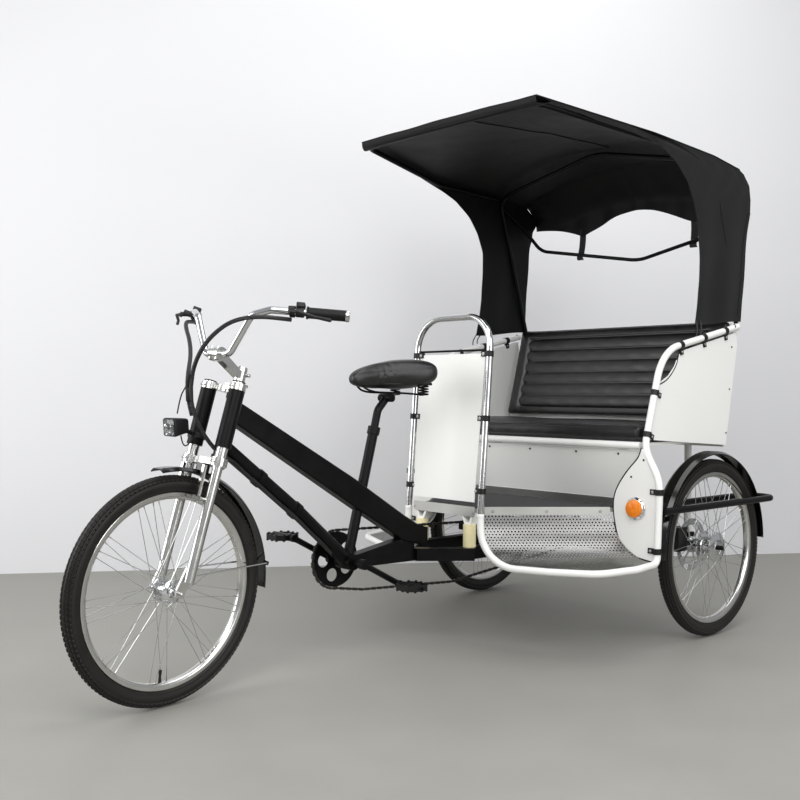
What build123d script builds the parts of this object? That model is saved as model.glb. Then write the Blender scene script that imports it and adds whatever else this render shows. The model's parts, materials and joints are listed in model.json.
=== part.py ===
"""Pedal rickshaw: one steered front wheel, a seat and hood over two rear wheels.

Millimetres. X runs forward from the rear axle, Y to the left, Z up from the ground.
The steering group is built upright on its own axis and then laid back by the rake.
Every piece is written to parts/ with the middle of the footprint as its origin.
"""
from build123d import *
from math import cos, hypot, radians, sin, sqrt, tan
import os

# ---------------------------------------------------------------- wheels
WHEELBASE = 1978.0          # rear axle to front axle
TRACK = 1161.0              # between the rear tyres' middles
TYRE_RADIUS = 333.0
TYRE_WIDTH = 54.0
TREAD_WIDTH = 20.0          # the flat crown of the tyre
RIM_RADIUS = 283.5
RIM_WIDTH = 29.0
RIM_DEPTH = 20.0
SEAT_GAP = 0.3              # between pieces that rest on one another
RUN_GAP = 0.05              # radial play of a shaft in its bearing

# ---------------------------------------------------------------- steering
HEAD_BACK = 235.0           # a point of the steering axis, this far behind the front axle
HEAD_X, HEAD_Z = WHEELBASE - HEAD_BACK, 900.0
RAKE = 16.2                         # degrees the axis leans back
REST_STEER = 5.8                    # degrees the bar is turned to the left
FORK_OFFSET = 51.0                  # leg axis ahead of the steering axis
LEG_SPREAD = 67.5                   # leg axis from the middle
LEG_RADIUS = 15.5
STANCHION_RADIUS = 17.0
SLEEVE_RADIUS = 24.0
SLEEVE_TOP, SLEEVE_FOOT = -15.0, -178.0     # heights along the axis from the head point
CROWN_TOP = 16.0
LOWER_CROWN = -222.0
LEG_FOOT = -575.0
STEERER_RADIUS = 14.3
BAR_RADIUS = 11.1
HEAD_TUBE_RADIUS = 22.0

# ---------------------------------------------------------------- frame
BEAM_WIDTH = 50.0
BEAM_CORNER = 6.0                   # radius of the box section's edges
DOWN_TUBE_RADIUS = 24.0
CRANK_X, CRANK_Z = 1300.0, 343.0    # bottom bracket
SHELL_RADIUS = 21.0
SEAT_TUBE_RADIUS = 17.5
CRANK_LENGTH = 172.0
CRANK_ANGLE = 28.0                  # degrees the right crank points above forward
CHAIN_Y = -60.0
RING_RADIUS = 98.0
SPROCKET_RADIUS = 62.0
RAIL_SIZE = 40.0
RAIL_TOP = 360.0
AXLE_RADIUS = 8.5
AXLE_TUBE_RADIUS = 24.0

# ---------------------------------------------------------------- cabin
FLOOR_TOP = 500.0
FLOOR_BOARD = 15.0
FLOOR_MAT = 3.0
HOOP_RADIUS = 16.0
CABIN_TUBE_RADIUS = 16.0
SHEET = 3.0
SIDE_Y = 560.0              # middle plane of the cabin's side walls
WING_X = 420.0              # plane of the panels beside the footwell
CUSHION_HEIGHT = 75.0
SEAT_Z = 735.0
BACK_WIDTH = 2 * SIDE_Y - 120.0

# ---------------------------------------------------------------- hood
HOOD_TUBE_RADIUS = 9.0
CLOTH = 4.0
HOOD_HALF = 555.0


# ================================================================ helpers
def bar(points, radius, bends=None):
    """A round bar along points, its corners turned on the radii in bends."""
    if bends is None:
        path = Line(*points)
    else:
        path = FilletPolyline(*points, radius=bends)
    return sweep(Plane(origin=path @ 0, z_dir=path % 0) * Circle(radius), path=path)


def post(start, end, radius, bore=0.0):
    """A straight round bar or tube between two points."""
    line = Vector(*end) - Vector(*start)
    face = Circle(radius) - Circle(bore) if bore else Circle(radius)
    return extrude(Plane(origin=start, z_dir=line) * face, amount=line.length)


def side_plate(outline, near, far):
    """A plate whose outline is in X and Z, from Y = near to Y = far."""
    face = make_face(Polyline(*[(x, z) for x, z in outline], close=True))
    return extrude(Plane.XZ.offset(-far) * face, amount=far - near)


def front_plate(outline, rear, front):
    """A plate whose outline is in Y and Z, from X = rear to X = front."""
    face = make_face(Polyline(*[(y, z) for y, z in outline], close=True))
    return extrude(Plane.YZ.offset(rear) * face, amount=front - rear)


def flat_plate(outline, bottom, top):
    """A plate whose outline is in X and Y, from Z = bottom to Z = top."""
    face = make_face(Polyline(*[(x, y) for x, y in outline], close=True))
    return extrude(Plane.XY.offset(bottom) * face, amount=top - bottom)


def turned(profile, arc=360.0):
    """A ring about the Y axis; profile rows are (radius, y)."""
    face = make_face(Polyline(*profile, close=True))
    return revolve(face, axis=Axis.Y, revolution_arc=arc)


def mirrored(profile):
    """Rows (radius, y) for y >= 0, with their mirror images in reverse order."""
    return profile + [(radius, -y) for radius, y in reversed(profile)]


def block(x, y, z, centre):
    """A box by its size and centre."""
    return Pos(*centre) * Box(x, y, z)


def pair(shape):
    """A left piece and its mirror image on the right."""
    return Compound(children=[*solids_of(shape), *solids_of(mirror(shape, about=Plane.XZ))])


def solids_of(shape):
    """The solids of a shape as a list."""
    return list(shape.solids())


def group(*shapes):
    """Several solids as one node."""
    return Compound(children=[solid for shape in shapes for solid in solids_of(shape)])


# ================================================================ wheels
def tyre():
    """Tyre about the Y axis."""
    half = TYRE_WIDTH / 2
    return turned(mirrored([
        # radius, y
        (TYRE_RADIUS, TREAD_WIDTH / 2),
        (TYRE_RADIUS - 11, half - 3.5),
        (TYRE_RADIUS - 28, half),
        (RIM_RADIUS + 7, half - 6),
        (RIM_RADIUS + SEAT_GAP, RIM_WIDTH / 2 - 2),
    ]))


def rim():
    """Box rim with tapering inner edges."""
    half = RIM_WIDTH / 2
    return turned(mirrored([
        # radius, y
        (RIM_RADIUS, half),
        (RIM_RADIUS - RIM_DEPTH + 7, half),
        (RIM_RADIUS - RIM_DEPTH, half - 7),
    ]))


SPOKES_PER_SIDE = 18
SPOKE_RADIUS = 1.1


def spokes(flange_radius, flange_y):
    """Crossed spokes, each from its flange to the rim; crossing pairs pass side by side."""
    bars = []
    pitch = 360.0 / SPOKES_PER_SIDE
    for side in (1, -1):
        for index in range(SPOKES_PER_SIDE):
            lean = 1 if index % 2 else -1
            start_angle = radians(pitch * index + (pitch / 2 if side > 0 else 0))
            end_angle = start_angle + lean * radians(SPOKE_CROSS)
            lay = side * (flange_y + lean * SPOKE_LAY)
            inner = Vector(flange_radius * cos(start_angle), lay, flange_radius * sin(start_angle))
            reach = RIM_RADIUS - RIM_DEPTH + 1.5
            outer = Vector(reach * cos(end_angle), side * 4, reach * sin(end_angle))
            line = outer - inner
            plane = Plane(origin=inner, z_dir=line)
            bars.append(extrude(plane * RegularPolygon(SPOKE_RADIUS, 6), amount=line.length))
    return bars


SPOKE_CROSS = 48.0          # degrees round the hub between a spoke's two ends
SPOKE_LAY = 3.7             # spokes leave from either face of the flange


def wire_rim(flange_radius, flange_y):
    """The rim with its spokes."""
    return rim().fuse(*spokes(flange_radius, flange_y))


FRONT_FLANGE_RADIUS, FRONT_FLANGE_Y, FRONT_HUB_HALF = 30.0, 26.0, 44.0
REAR_FLANGE_RADIUS, REAR_FLANGE_Y = 52.0, 27.0
FRONT_AXLE_RADIUS = 5.0
ROTOR_RADIUS, ROTOR_Y = 100.0, 80.0
FLANGE = 3.0


def hub(flange_radius, flange_y, barrel, half, bore):
    """A flanged hub with a through bore."""
    lip = flange_radius + 5
    return turned([
        # radius, y
        (bore, -half), (barrel - 4, -half),
        (barrel, -flange_y - 6), (barrel, -flange_y - FLANGE / 2),
        (lip, -flange_y - FLANGE / 2), (lip, -flange_y + FLANGE / 2),
        (barrel, -flange_y + FLANGE / 2), (barrel, flange_y - FLANGE / 2),
        (lip, flange_y - FLANGE / 2), (lip, flange_y + FLANGE / 2),
        (barrel, flange_y + FLANGE / 2), (barrel, flange_y + 6),
        (barrel - 4, half), (bore, half),
    ])


def rotor():
    """Brake disc on the hub's inner side, with its spider and vents, for the left wheel."""
    disc = turned([(28, -ROTOR_Y - 1), (ROTOR_RADIUS, -ROTOR_Y - 1),
                   (ROTOR_RADIUS, -ROTOR_Y + 1), (28, -ROTOR_Y + 1)])
    vents = [Rot(0, 60 * index, 0) * (Pos(58, -ROTOR_Y, 0) * Rot(90, 0, 0) * Cylinder(15, 6))
             for index in range(6)]
    return disc.cut(*vents)


def rear_hub():
    """Rear hub with its disc, for the left wheel."""
    bore = AXLE_RADIUS + RUN_GAP
    body = hub(REAR_FLANGE_RADIUS, REAR_FLANGE_Y, 27, 34, bore)
    carrier = turned([(bore, -ROTOR_Y - 5), (30, -ROTOR_Y - 5), (30, -ROTOR_Y + 5),
                      (24, -33), (bore, -33)])
    return body.fuse(carrier, rotor())


REAR_WHEEL_Y = TRACK / 2


# ================================================================ steering
STEER_PLANE = Plane(origin=(HEAD_X, 0, HEAD_Z),
                    x_dir=(cos(radians(RAKE)), 0, sin(radians(RAKE))),
                    z_dir=(-sin(radians(RAKE)), 0, cos(radians(RAKE))))


def steer_coords(x, z):
    """A point of the middle plane as (forward of the axis, up along the axis)."""
    dx, dz = x - HEAD_X, z - HEAD_Z
    tilt = radians(RAKE)
    return dx * cos(tilt) + dz * sin(tilt), dz * cos(tilt) - dx * sin(tilt)


AXLE_U, AXLE_W = steer_coords(WHEELBASE, TYRE_RADIUS)


def steered(shape):
    """Lay a piece built on the steering axis back by the rake, turned to its rest."""
    return STEER_PLANE.location * Rot(0, 0, REST_STEER) * shape


def on_front_axle(shape):
    """Move a piece built about the Y axis to the front axle, upright."""
    return steered(Pos(AXLE_U, 0, AXLE_W) * Rot(0, RAKE, 0) * shape)


def clamp_ring(radius, height, centre):
    """A short collar round a tube that stands along the axis."""
    return Pos(*centre) * Cylinder(radius, height)


def fork():
    """Steerer, two crowns, stanchions, lower legs, dropouts and the axle in them."""
    pieces = [post((0, 0, LOWER_CROWN), (0, 0, 40), STEERER_RADIUS)]
    for crown_z, height in ((CROWN_TOP - 10, 20), (LOWER_CROWN, 24)):
        arm = flat_plate([(-14, -22), (FORK_OFFSET + 4, -LEG_SPREAD), (FORK_OFFSET + 20, 0),
                          (FORK_OFFSET + 4, LEG_SPREAD), (-14, 22)], crown_z - 9, crown_z + 9)
        if crown_z > LOWER_CROWN:
            arm = arm - Pos(FORK_OFFSET + 2, 0, crown_z) * Cylinder(26, height + 2)
        pieces.append(arm)
        pieces.append(clamp_ring(22, height, (0, 0, crown_z)))
        for side in (1, -1):
            pieces.append(clamp_ring(25, height, (FORK_OFFSET, side * LEG_SPREAD, crown_z)))
    for side in (1, -1):
        y = side * LEG_SPREAD
        pieces.append(post((FORK_OFFSET, y, LOWER_CROWN), (FORK_OFFSET, y, CROWN_TOP + 6), STANCHION_RADIUS))
        pieces.append(post((FORK_OFFSET, y, LEG_FOOT), (FORK_OFFSET, y, LOWER_CROWN), LEG_RADIUS))
        dropout = flat_dropout(side)
        pieces.append(dropout)
    pieces.append(Pos(AXLE_U, 0, AXLE_W) * Rot(90, 0, 0) * Cylinder(FRONT_AXLE_RADIUS, 2 * (LEG_SPREAD + 12)))
    return pieces[0].fuse(*pieces[1:])


def flat_dropout(side):
    """Plate at a leg's foot that carries the axle ahead of the leg."""
    y = side * (LEG_SPREAD - 8)
    outline = [(FORK_OFFSET - 10, LEG_FOOT + 40), (FORK_OFFSET + 12, LEG_FOOT + 46),
               (AXLE_U + 14, AXLE_W + 8), (AXLE_U + 12, AXLE_W - 12), (AXLE_U - 10, AXLE_W - 14),
               (FORK_OFFSET - 12, LEG_FOOT)]
    return side_plate(outline, y - 4, y + 4)


def fork_sleeves():
    """Covers over the upper stanchions, between the top crown and the bare stretch."""
    tubes = [post((FORK_OFFSET, side * LEG_SPREAD, SLEEVE_FOOT),
                  (FORK_OFFSET, side * LEG_SPREAD, CROWN_TOP - 20 - SEAT_GAP),
                  SLEEVE_RADIUS, STANCHION_RADIUS + SEAT_GAP) for side in (1, -1)]
    return group(*tubes)


BAR_CLAMP = (102.7, 92.0)       # the bar's middle: forward, up
STEM_FOOT = 40.0                # the stem clamps the steerer from here up
STEM_TOP = 78.0


def stem():
    """Adjustable stem: steerer clamp, arm and split bar clamp."""
    foot = post((0, 0, STEM_FOOT - 22), (0, 0, STEM_TOP), 18, STEERER_RADIUS + SEAT_GAP / 3)
    cap = post((0, 0, STEM_TOP - 8), (0, 0, STEM_TOP + 4), 17)
    u, w = BAR_CLAMP
    arm = side_plate([(10, 44), (6, 66), (u - 10, w + 12), (u - 4, w - 13)], -15, 15)
    grip = Pos(u, 0, w) * Rot(90, 0, 0) * Cylinder(21, 44)
    bore = Pos(u, 0, w) * Rot(90, 0, 0) * Cylinder(BAR_RADIUS + SEAT_GAP / 3, 60)
    steerer_hole = post((0, 0, 0), (0, 0, STEM_TOP - 9), STEERER_RADIUS + SEAT_GAP / 3)
    return foot.fuse(cap, arm, grip) - bore - steerer_hole


BAR_POINTS = [
    # forward, left, up: right half mirrors the left
    (102.7, 0, 92.0), (102.7, 56, 92.0), (113.5, 127, 208.0), (92.0, 180, 231.0), (-49.0, 357, 258.0),
]
BAR_BENDS = [38, 32, 30, 30, 32, 38]
GRIP_LENGTH = 128.0


def handlebar():
    """Swept riser bar."""
    left = BAR_POINTS[1:]
    right = [(u, -v, w) for u, v, w in reversed(left)]
    return bar(right + left, BAR_RADIUS, bends=BAR_BENDS)


def bar_end(side, back=0.0):
    """A point on the straight end of the bar, measured back from its tip."""
    tip, elbow = Vector(*BAR_POINTS[-1]), Vector(*BAR_POINTS[-2])
    point = tip + (elbow - tip).normalized() * back
    return (point.X, side * point.Y, point.Z)


def grips():
    """Rubber grips with an end ring."""
    pieces = []
    for side in (1, -1):
        sleeve = post(bar_end(side, 4), bar_end(side, GRIP_LENGTH), 16.5, BAR_RADIUS + 0.1)
        pieces.append(sleeve)
    return group(*pieces)


def controls():
    """Switch blocks and brake levers with their clamps."""
    pieces = []
    for side in (1, -1):
        base = Vector(*bar_end(side, GRIP_LENGTH + 24))
        clamp = post(bar_end(side, GRIP_LENGTH + 3), bar_end(side, GRIP_LENGTH + 45), 18, BAR_RADIUS + 0.1)
        arm_start = base + Vector(14, 0, -6)
        arm_end = base + Vector(52, side * -4, -14)
        perch = post(tuple(arm_start), tuple(arm_end), 9)
        lever_tip = Vector(*bar_end(side, 35)) + Vector(58, side * 10, -16)
        lever = post(tuple(arm_end), tuple(lever_tip), 6)
        bore = post(bar_end(side, GRIP_LENGTH), bar_end(side, GRIP_LENGTH + 48), BAR_RADIUS + 0.1)
        pieces.append(clamp.fuse(perch, lever) - bore)
    return group(*pieces)


# ================================================================ frame tubes
BEAM_OUTLINE = [
    # x, z
    (HEAD_X + 5, HEAD_Z - 22), (1288, 621), (1060, 481), (985, 440), (950, 430),
    (950, 372), (1000, 375), (1059, 391), (1265, 512), (HEAD_X + 22, HEAD_Z - 86),
]


def main_beam():
    """Deep rectangular tube from the head down under the saddle to the chassis."""
    tube = side_plate(BEAM_OUTLINE, -BEAM_WIDTH / 2, BEAM_WIDTH / 2)
    long_edges = [edge for face in tube.faces().filter_by(Axis.Y) for edge in face.edges() if edge.length > 60]
    return fillet(long_edges, BEAM_CORNER) - head_core()


def head_core():
    """Room of the head tube and its cups in the tubes that meet it."""
    tube = Pos(0, 0, -110) * Cylinder(HEAD_TUBE_RADIUS + SEAT_GAP, 400)
    lower_cup = post((0, 0, LOWER_CROWN), (0, 0, LOWER_CROWN + 28), HEAD_TUBE_RADIUS + 4 + SEAT_GAP)
    return STEER_PLANE.location * tube.fuse(lower_cup)


def head_tube():
    """Head tube with wider bearing cups; the steerer turns inside."""
    top, foot = CROWN_TOP - 20 - 1.0, LOWER_CROWN + 12 + 1.0
    body = post((0, 0, foot), (0, 0, top), HEAD_TUBE_RADIUS)
    cups = [post((0, 0, low), (0, 0, low + 14), HEAD_TUBE_RADIUS + 4) for low in (foot, top - 14)]
    bore = post((0, 0, foot - 1), (0, 0, top + 1), STEERER_RADIUS + RUN_GAP)
    return STEER_PLANE.location * (body.fuse(*cups) - bore)


DOWN_TUBE_HEAD = (HEAD_X + 52, 0, HEAD_Z - 154)
DOWN_TUBE_KNEE = (CRANK_X + 0.396 * (HEAD_X + 52 - CRANK_X), 0, CRANK_Z + 170)
DOWN_TUBE = [DOWN_TUBE_HEAD, DOWN_TUBE_KNEE, (CRANK_X, 0, CRANK_Z)]


COLLARS = [0.464, 0.93]         # along the run from the head to the knee


def down_tube():
    """Down tube with two collars and the bottom bracket shell."""
    tube = bar(DOWN_TUBE, DOWN_TUBE_RADIUS, bends=[200])
    head, knee = Vector(*DOWN_TUBE_HEAD), Vector(*DOWN_TUBE_KNEE)
    reach = (knee - head).normalized() * 11
    for share in COLLARS:
        spot = head + (knee - head) * share
        tube = tube.fuse(post(tuple(spot - reach), tuple(spot + reach), DOWN_TUBE_RADIUS + 3.5))
    shell = Pos(CRANK_X, 0, CRANK_Z) * Rot(90, 0, 0) * Cylinder(SHELL_RADIUS + 5, 72)
    bore = Pos(CRANK_X, 0, CRANK_Z) * Rot(90, 0, 0) * Cylinder(SPINDLE_RADIUS + RUN_GAP, 80)
    return tube.fuse(shell) - bore - head_core()


SPINDLE_RADIUS = 8.5
SEAT_TOP = (1183.0, 789.0)
SADDLE_CLAMP = (1129.0, 888.0)
SADDLE_CLAMP_RADIUS = 14.0
RAIL_RADIUS = 4.0


def seat_tube():
    """Seat tube in two lengths, below and above the beam, with the clamp on top."""
    foot = Vector(CRANK_X, 0, CRANK_Z)
    top = Vector(SEAT_TOP[0], 0, SEAT_TOP[1])
    along = (top - foot).normalized()
    tube = post(tuple(foot + along * (SHELL_RADIUS + 6)), tuple(top), SEAT_TUBE_RADIUS)
    clamp = post(tuple(top - along * 26), tuple(top), SEAT_TUBE_RADIUS + 4)
    bore = post(tuple(top - along * 90), tuple(top + along), 13.6 + SEAT_GAP / 3)
    beam = side_plate(BEAM_OUTLINE, -BEAM_WIDTH / 2 - 1, BEAM_WIDTH / 2 + 1)
    return tube.fuse(clamp) - beam - bore - lower_frame_room()


def lower_frame_room():
    """Room of the down tube and the bottom bracket shell in what ends on them."""
    tube = post(DOWN_TUBE[1], DOWN_TUBE[2], DOWN_TUBE_RADIUS + SEAT_GAP)
    shell = Pos(CRANK_X, 0, CRANK_Z) * Rot(90, 0, 0) * Cylinder(SHELL_RADIUS + 5 + SEAT_GAP, 200)
    return tube.fuse(shell)


def seat_post():
    """Seat post from inside the seat tube to the saddle's clamp."""
    foot = Vector(CRANK_X, 0, CRANK_Z)
    top = Vector(SEAT_TOP[0], 0, SEAT_TOP[1])
    along = (top - foot).normalized()
    head = Vector(SADDLE_CLAMP[0], 0, SADDLE_CLAMP[1])
    stick = bar([tuple(top - along * 88), tuple(top + along * 60), tuple(head)], 13.6, bends=[40])
    clamp = Pos(head.X, 0, head.Z) * Rot(90, 0, 0) * Cylinder(SADDLE_CLAMP_RADIUS, 60)
    return stick.fuse(clamp)


SADDLE_STATIONS = [
    # x, half width, bottom, top
    (1289, 15, 945, 963), (1278, 22, 941, 975), (1240, 27, 940, 990), (1190, 34, 943, 999),
    (1140, 52, 943, 1006), (1090, 83, 942, 1013), (1045, 111, 944, 1019), (1005, 121, 948, 1018),
    (986, 113, 954, 1009), (976, 92, 962, 996),
]


def saddle():
    """Sprung saddle: padded top, two rails and two coil-shaped springs."""
    faces = []
    for x, half, bottom, top in SADDLE_STATIONS:
        faces.append(Plane.YZ.offset(x) * Pos(0, (bottom + top) / 2) *
                     RectangleRounded(2 * half, top - bottom, min(half, (top - bottom) / 2) * 0.85))
    pad = loft(faces, ruled=True)
    pieces = [pad]
    for side in (1, -1):
        rail_z = SADDLE_CLAMP[1] + SADDLE_CLAMP_RADIUS + RAIL_RADIUS + SEAT_GAP
        rail = bar([(1250, side * 12, 952), (1200, side * 22, rail_z), (1080, side * 22, rail_z),
                    (1015, side * 70, rail_z)], RAIL_RADIUS, bends=[25, 25])
        spring = post((1015, side * 70, 890), (1015, side * 70, 951), 18)
        pieces.append(rail)
        pieces.append(spring)
    return pad.fuse(*pieces[1:])


# ================================================================ drive
def crank_point(side, reach):
    """A point on a crank at a distance from the bottom bracket; the right one leads."""
    turn = radians(CRANK_ANGLE + (180 if side > 0 else 0))
    return CRANK_X + reach * cos(turn), CRANK_Z + reach * sin(turn)


def crankset():
    """Spindle, both cranks and the pierced chain wheel."""
    centre = Pos(CRANK_X, 0, CRANK_Z) * Rot(90, 0, 0)
    pieces = [centre * Cylinder(SPINDLE_RADIUS, 190)]
    for side in (1, -1):
        x, z = crank_point(side, CRANK_LENGTH)
        arm = post((CRANK_X, side * 86, CRANK_Z), (x, side * 92, z), 10)
        eye = Pos(x, side * 92, z) * Rot(90, 0, 0) * Cylinder(13, 16)
        boss = Pos(CRANK_X, side * 84, CRANK_Z) * Rot(90, 0, 0) * Cylinder(17, 22)
        pin = Pos(x, side * 150, z) * Rot(90, 0, 0) * Cylinder(PEDAL_PIN_RADIUS, 120)
        pieces += [arm, eye, boss, pin]
    wheel = Pos(CRANK_X, CHAIN_Y, CRANK_Z) * Rot(90, 0, 0) * Cylinder(RING_RADIUS - 5, 3)
    holes = [Pos(CRANK_X, CHAIN_Y, CRANK_Z) * Rot(0, 72 * index, 0) *
             (Pos(54, 0, 0) * Rot(90, 0, 0) * Cylinder(22, 8)) for index in range(5)]
    pieces.append(wheel.cut(*holes))
    return pieces[0].fuse(*pieces[1:])


PEDAL_PIN_RADIUS = 5.0
PEDAL_Y = 155.0


def octagon(half, corner):
    """Outline of a square with its corners cut off."""
    near = half - corner
    return [(half, near), (near, half), (-near, half), (-half, near),
            (-half, -near), (-near, -half), (near, -half), (half, -near)]


def pedal(side):
    """Eight-sided cage pedal with a toothed rim, turning on its pin."""
    x, z = crank_point(side, CRANK_LENGTH)
    core = post((x, side * 108, z), (x, side * 203, z), 12)
    cage = flat_plate(octagon(46, 19), -9, 9) - flat_plate(octagon(39, 16), -10, 10)
    for px, py in octagon(42.5, 17.5) + [(42.5, 0), (-42.5, 0)]:
        cage = cage.fuse(Pos(px, py, 0) * Box(6, 6, 25))
    web = Box(80, 9, 14)
    bore = post((x, side * 100, z), (x, side * 215, z), PEDAL_PIN_RADIUS + RUN_GAP)
    return (Pos(x, side * PEDAL_Y, z) * cage.fuse(web)).fuse(core) - bore


CHAIN_WIDTH = 8.0
CHAIN_HEIGHT = 9.0
CORE_WIDTH, CORE_HEIGHT = 4.0, 6.0
CHAIN_LINKS = 108               # wide links; the narrow ones between them are the core


def chain():
    """Closed chain round both chain wheels, wide and narrow links in turn, its lower run sagging."""
    band = chain_loop(CORE_HEIGHT / 2) - chain_loop(-CORE_HEIGHT / 2)
    core = extrude(Plane.XZ.offset(-CHAIN_Y - CORE_WIDTH / 2) * band, amount=CORE_WIDTH)
    route = chain_loop(0.0).face().outer_wire()
    length = route.length / CHAIN_LINKS * 0.6
    links = []
    for index in range(CHAIN_LINKS):
        spot, ahead = route @ (index / CHAIN_LINKS), route % (index / CHAIN_LINKS)
        plane = Plane(origin=(spot.X, CHAIN_Y, spot.Y), x_dir=(ahead.X, 0, ahead.Y), z_dir=(0, 1, 0))
        links.append(plane * Box(length, CHAIN_HEIGHT, CHAIN_WIDTH))
    return core.fuse(*links)


def chain_loop(grow):
    """The face inside the chain's middle line, grown outwards."""
    front = Pos(CRANK_X, CRANK_Z) * Circle(RING_RADIUS + grow)
    rear = Pos(0, TYRE_RADIUS) * Circle(SPROCKET_RADIUS + grow)
    top = (RING_RADIUS + grow, SPROCKET_RADIUS + grow)
    run = make_face(Polyline((CRANK_X, CRANK_Z + top[0]), (0, TYRE_RADIUS + top[1]),
                             (0, TYRE_RADIUS - top[1]), (740, 200 - grow), (1180, 226 - grow),
                             (CRANK_X, CRANK_Z - top[0]), close=True))
    return front + rear + run


def rear_axle():
    """Axle with its housing tube and the chain's sprocket."""
    axle = post((0, -TRACK / 2 - 52, TYRE_RADIUS), (0, TRACK / 2 + 52, TYRE_RADIUS), AXLE_RADIUS)
    housing = post((0, -HOUSING_HALF, TYRE_RADIUS), (0, HOUSING_HALF, TYRE_RADIUS), AXLE_TUBE_RADIUS)
    sprocket = post((0, CHAIN_Y - 1.5, TYRE_RADIUS), (0, CHAIN_Y + 1.5, TYRE_RADIUS), SPROCKET_RADIUS - 5)
    return axle.fuse(housing, sprocket)


HOUSING_HALF = TRACK / 2 - 110.5

# ================================================================ chassis
RAIL_Y = 115.0
CROSS_HALF = 400.0
RAIL_DEPTH = 43.0
SPINE_REAR = 1010.0


def chassis_spine():
    """Square tube from the bottom bracket back to the upright plate under the beam."""
    half = RAIL_SIZE / 2
    tube = side_plate([(CRANK_X - 10, 322), (CRANK_X - 10, 362), (1060, 400), (SPINE_REAR, 400),
                       (SPINE_REAR, RAIL_TOP - RAIL_DEPTH)], -half, half)
    beam = side_plate(BEAM_OUTLINE, -BEAM_WIDTH, BEAM_WIDTH)
    return tube - beam - lower_frame_room()


def chassis_rails():
    """Two rails that spread from the spine, their outriggers, and the cross-members."""
    corner = (886, 109)
    left = [(1020, 0), corner, (878, RAIL_Y), (-240, RAIL_Y)]
    bottom = RAIL_TOP - RAIL_DEPTH
    rail = flat_plate(offset_strip(left, RAIL_SIZE / 2), bottom, RAIL_TOP)
    rail = rail.fuse(flat_plate(offset_strip([corner, (840, 148)], RAIL_SIZE / 2), bottom, RAIL_TOP))
    whole = rail.fuse(mirror(rail, about=Plane.XZ))
    for x, half in ((560, RAIL_Y), (SEAT_POSTS[0], CROSS_HALF + 20), (SEAT_POSTS[1], CROSS_HALF + 20)):
        whole = whole.fuse(block(RAIL_SIZE, 2 * half, 36, (x, 0, RAIL_TOP - 18)))
    axle = Pos(0, 0, TYRE_RADIUS) * Rot(90, 0, 0) * Cylinder(AXLE_TUBE_RADIUS + SEAT_GAP, 2000)
    spine = block(200, 200, 200, (SPINE_REAR + 100 - SEAT_GAP, 0, RAIL_TOP))
    return whole - spine - axle


def offset_strip(points, half):
    """A strip of a given half width along a plan polyline, mitred at its corners."""
    left_side, right_side = [], []
    for index, (x, y) in enumerate(points):
        before = points[max(index - 1, 0)]
        after = points[min(index + 1, len(points) - 1)]
        ahead = (after[0] - x, after[1] - y) if index < len(points) - 1 else (x - before[0], y - before[1])
        behind = (x - before[0], y - before[1]) if index else ahead
        length_a, length_b = hypot(*ahead), hypot(*behind)
        ua = (ahead[0] / length_a, ahead[1] / length_a)
        ub = (behind[0] / length_b, behind[1] / length_b)
        bisect = (ua[0] + ub[0], ua[1] + ub[1])
        size = hypot(*bisect)
        normal = (-bisect[1] / size, bisect[0] / size)
        reach = half / (normal[0] * -ub[1] + normal[1] * ub[0])
        left_side.append((x + normal[0] * reach, y + normal[1] * reach))
        right_side.append((x - normal[0] * reach, y - normal[1] * reach))
    return left_side + right_side[::-1]


MOUNT_X, MOUNT_Y = 835.0, 120.0
MOUNT_TOP = 440.0


def rubber_mounts():
    """Two soft blocks between the chassis and the cabin."""
    return pair(post((MOUNT_X, MOUNT_Y, RAIL_TOP + SEAT_GAP), (MOUNT_X, MOUNT_Y, MOUNT_TOP), 23))


def mount_brackets():
    """V-shaped hangers from the floor down to a foot on each soft block."""
    top = FLOOR_TOP - FLOOR_MAT - FLOOR_BOARD - SEAT_GAP
    foot = MOUNT_TOP + SEAT_GAP
    outline = [(MOUNT_Y - 37, top), (MOUNT_Y + 27, top), (MOUNT_Y + 15, foot), (MOUNT_Y - 15, foot)]
    window = [(MOUNT_Y - 24, top - 7), (MOUNT_Y + 15, top - 7), (MOUNT_Y + 7, foot + 9), (MOUNT_Y - 8, foot + 9)]
    rear, front = MOUNT_X - 25, MOUNT_X + 10
    return pair(front_plate(outline, rear, front) - front_plate(window, rear - 1, front + 1))


# ================================================================ cabin
HOOP_FOOT = (850.0, 171.0, 505.0)
HOOP_TOP = (794.5, 184.5, 1190.0)
HOOP_BEND = 90.0
HOOP_JOINT_Z = FLOOR_TOP - 22     # the bright hoop stands on the white tubes here
CROSSBAR_Z = 1060.0


def hoop_at(z):
    """The left post's axis at a height."""
    share = (z - HOOP_FOOT[2]) / (HOOP_TOP[2] - HOOP_FOOT[2])
    return tuple(a + share * (b - a) for a, b in zip(HOOP_FOOT, HOOP_TOP))


def hoop():
    """Bright hoop at the front of the footwell."""
    left, top = hoop_at(HOOP_JOINT_Z - 20), HOOP_TOP
    points = [(left[0], -left[1], left[2]), (top[0], -top[1], top[2]), top, left]
    below = block(200, 600, 100, (left[0], 0, HOOP_JOINT_Z + SEAT_GAP - 50))
    return bar(points, HOOP_RADIUS, bends=[HOOP_BEND, HOOP_BEND]) - below


def crossbar():
    """Thin rod between the hoop's posts."""
    x, y, z = hoop_at(CROSSBAR_Z)
    reach = y - HOOP_RADIUS - SEAT_GAP
    return post((x, -reach, z), (x, reach, z), 4)


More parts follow.
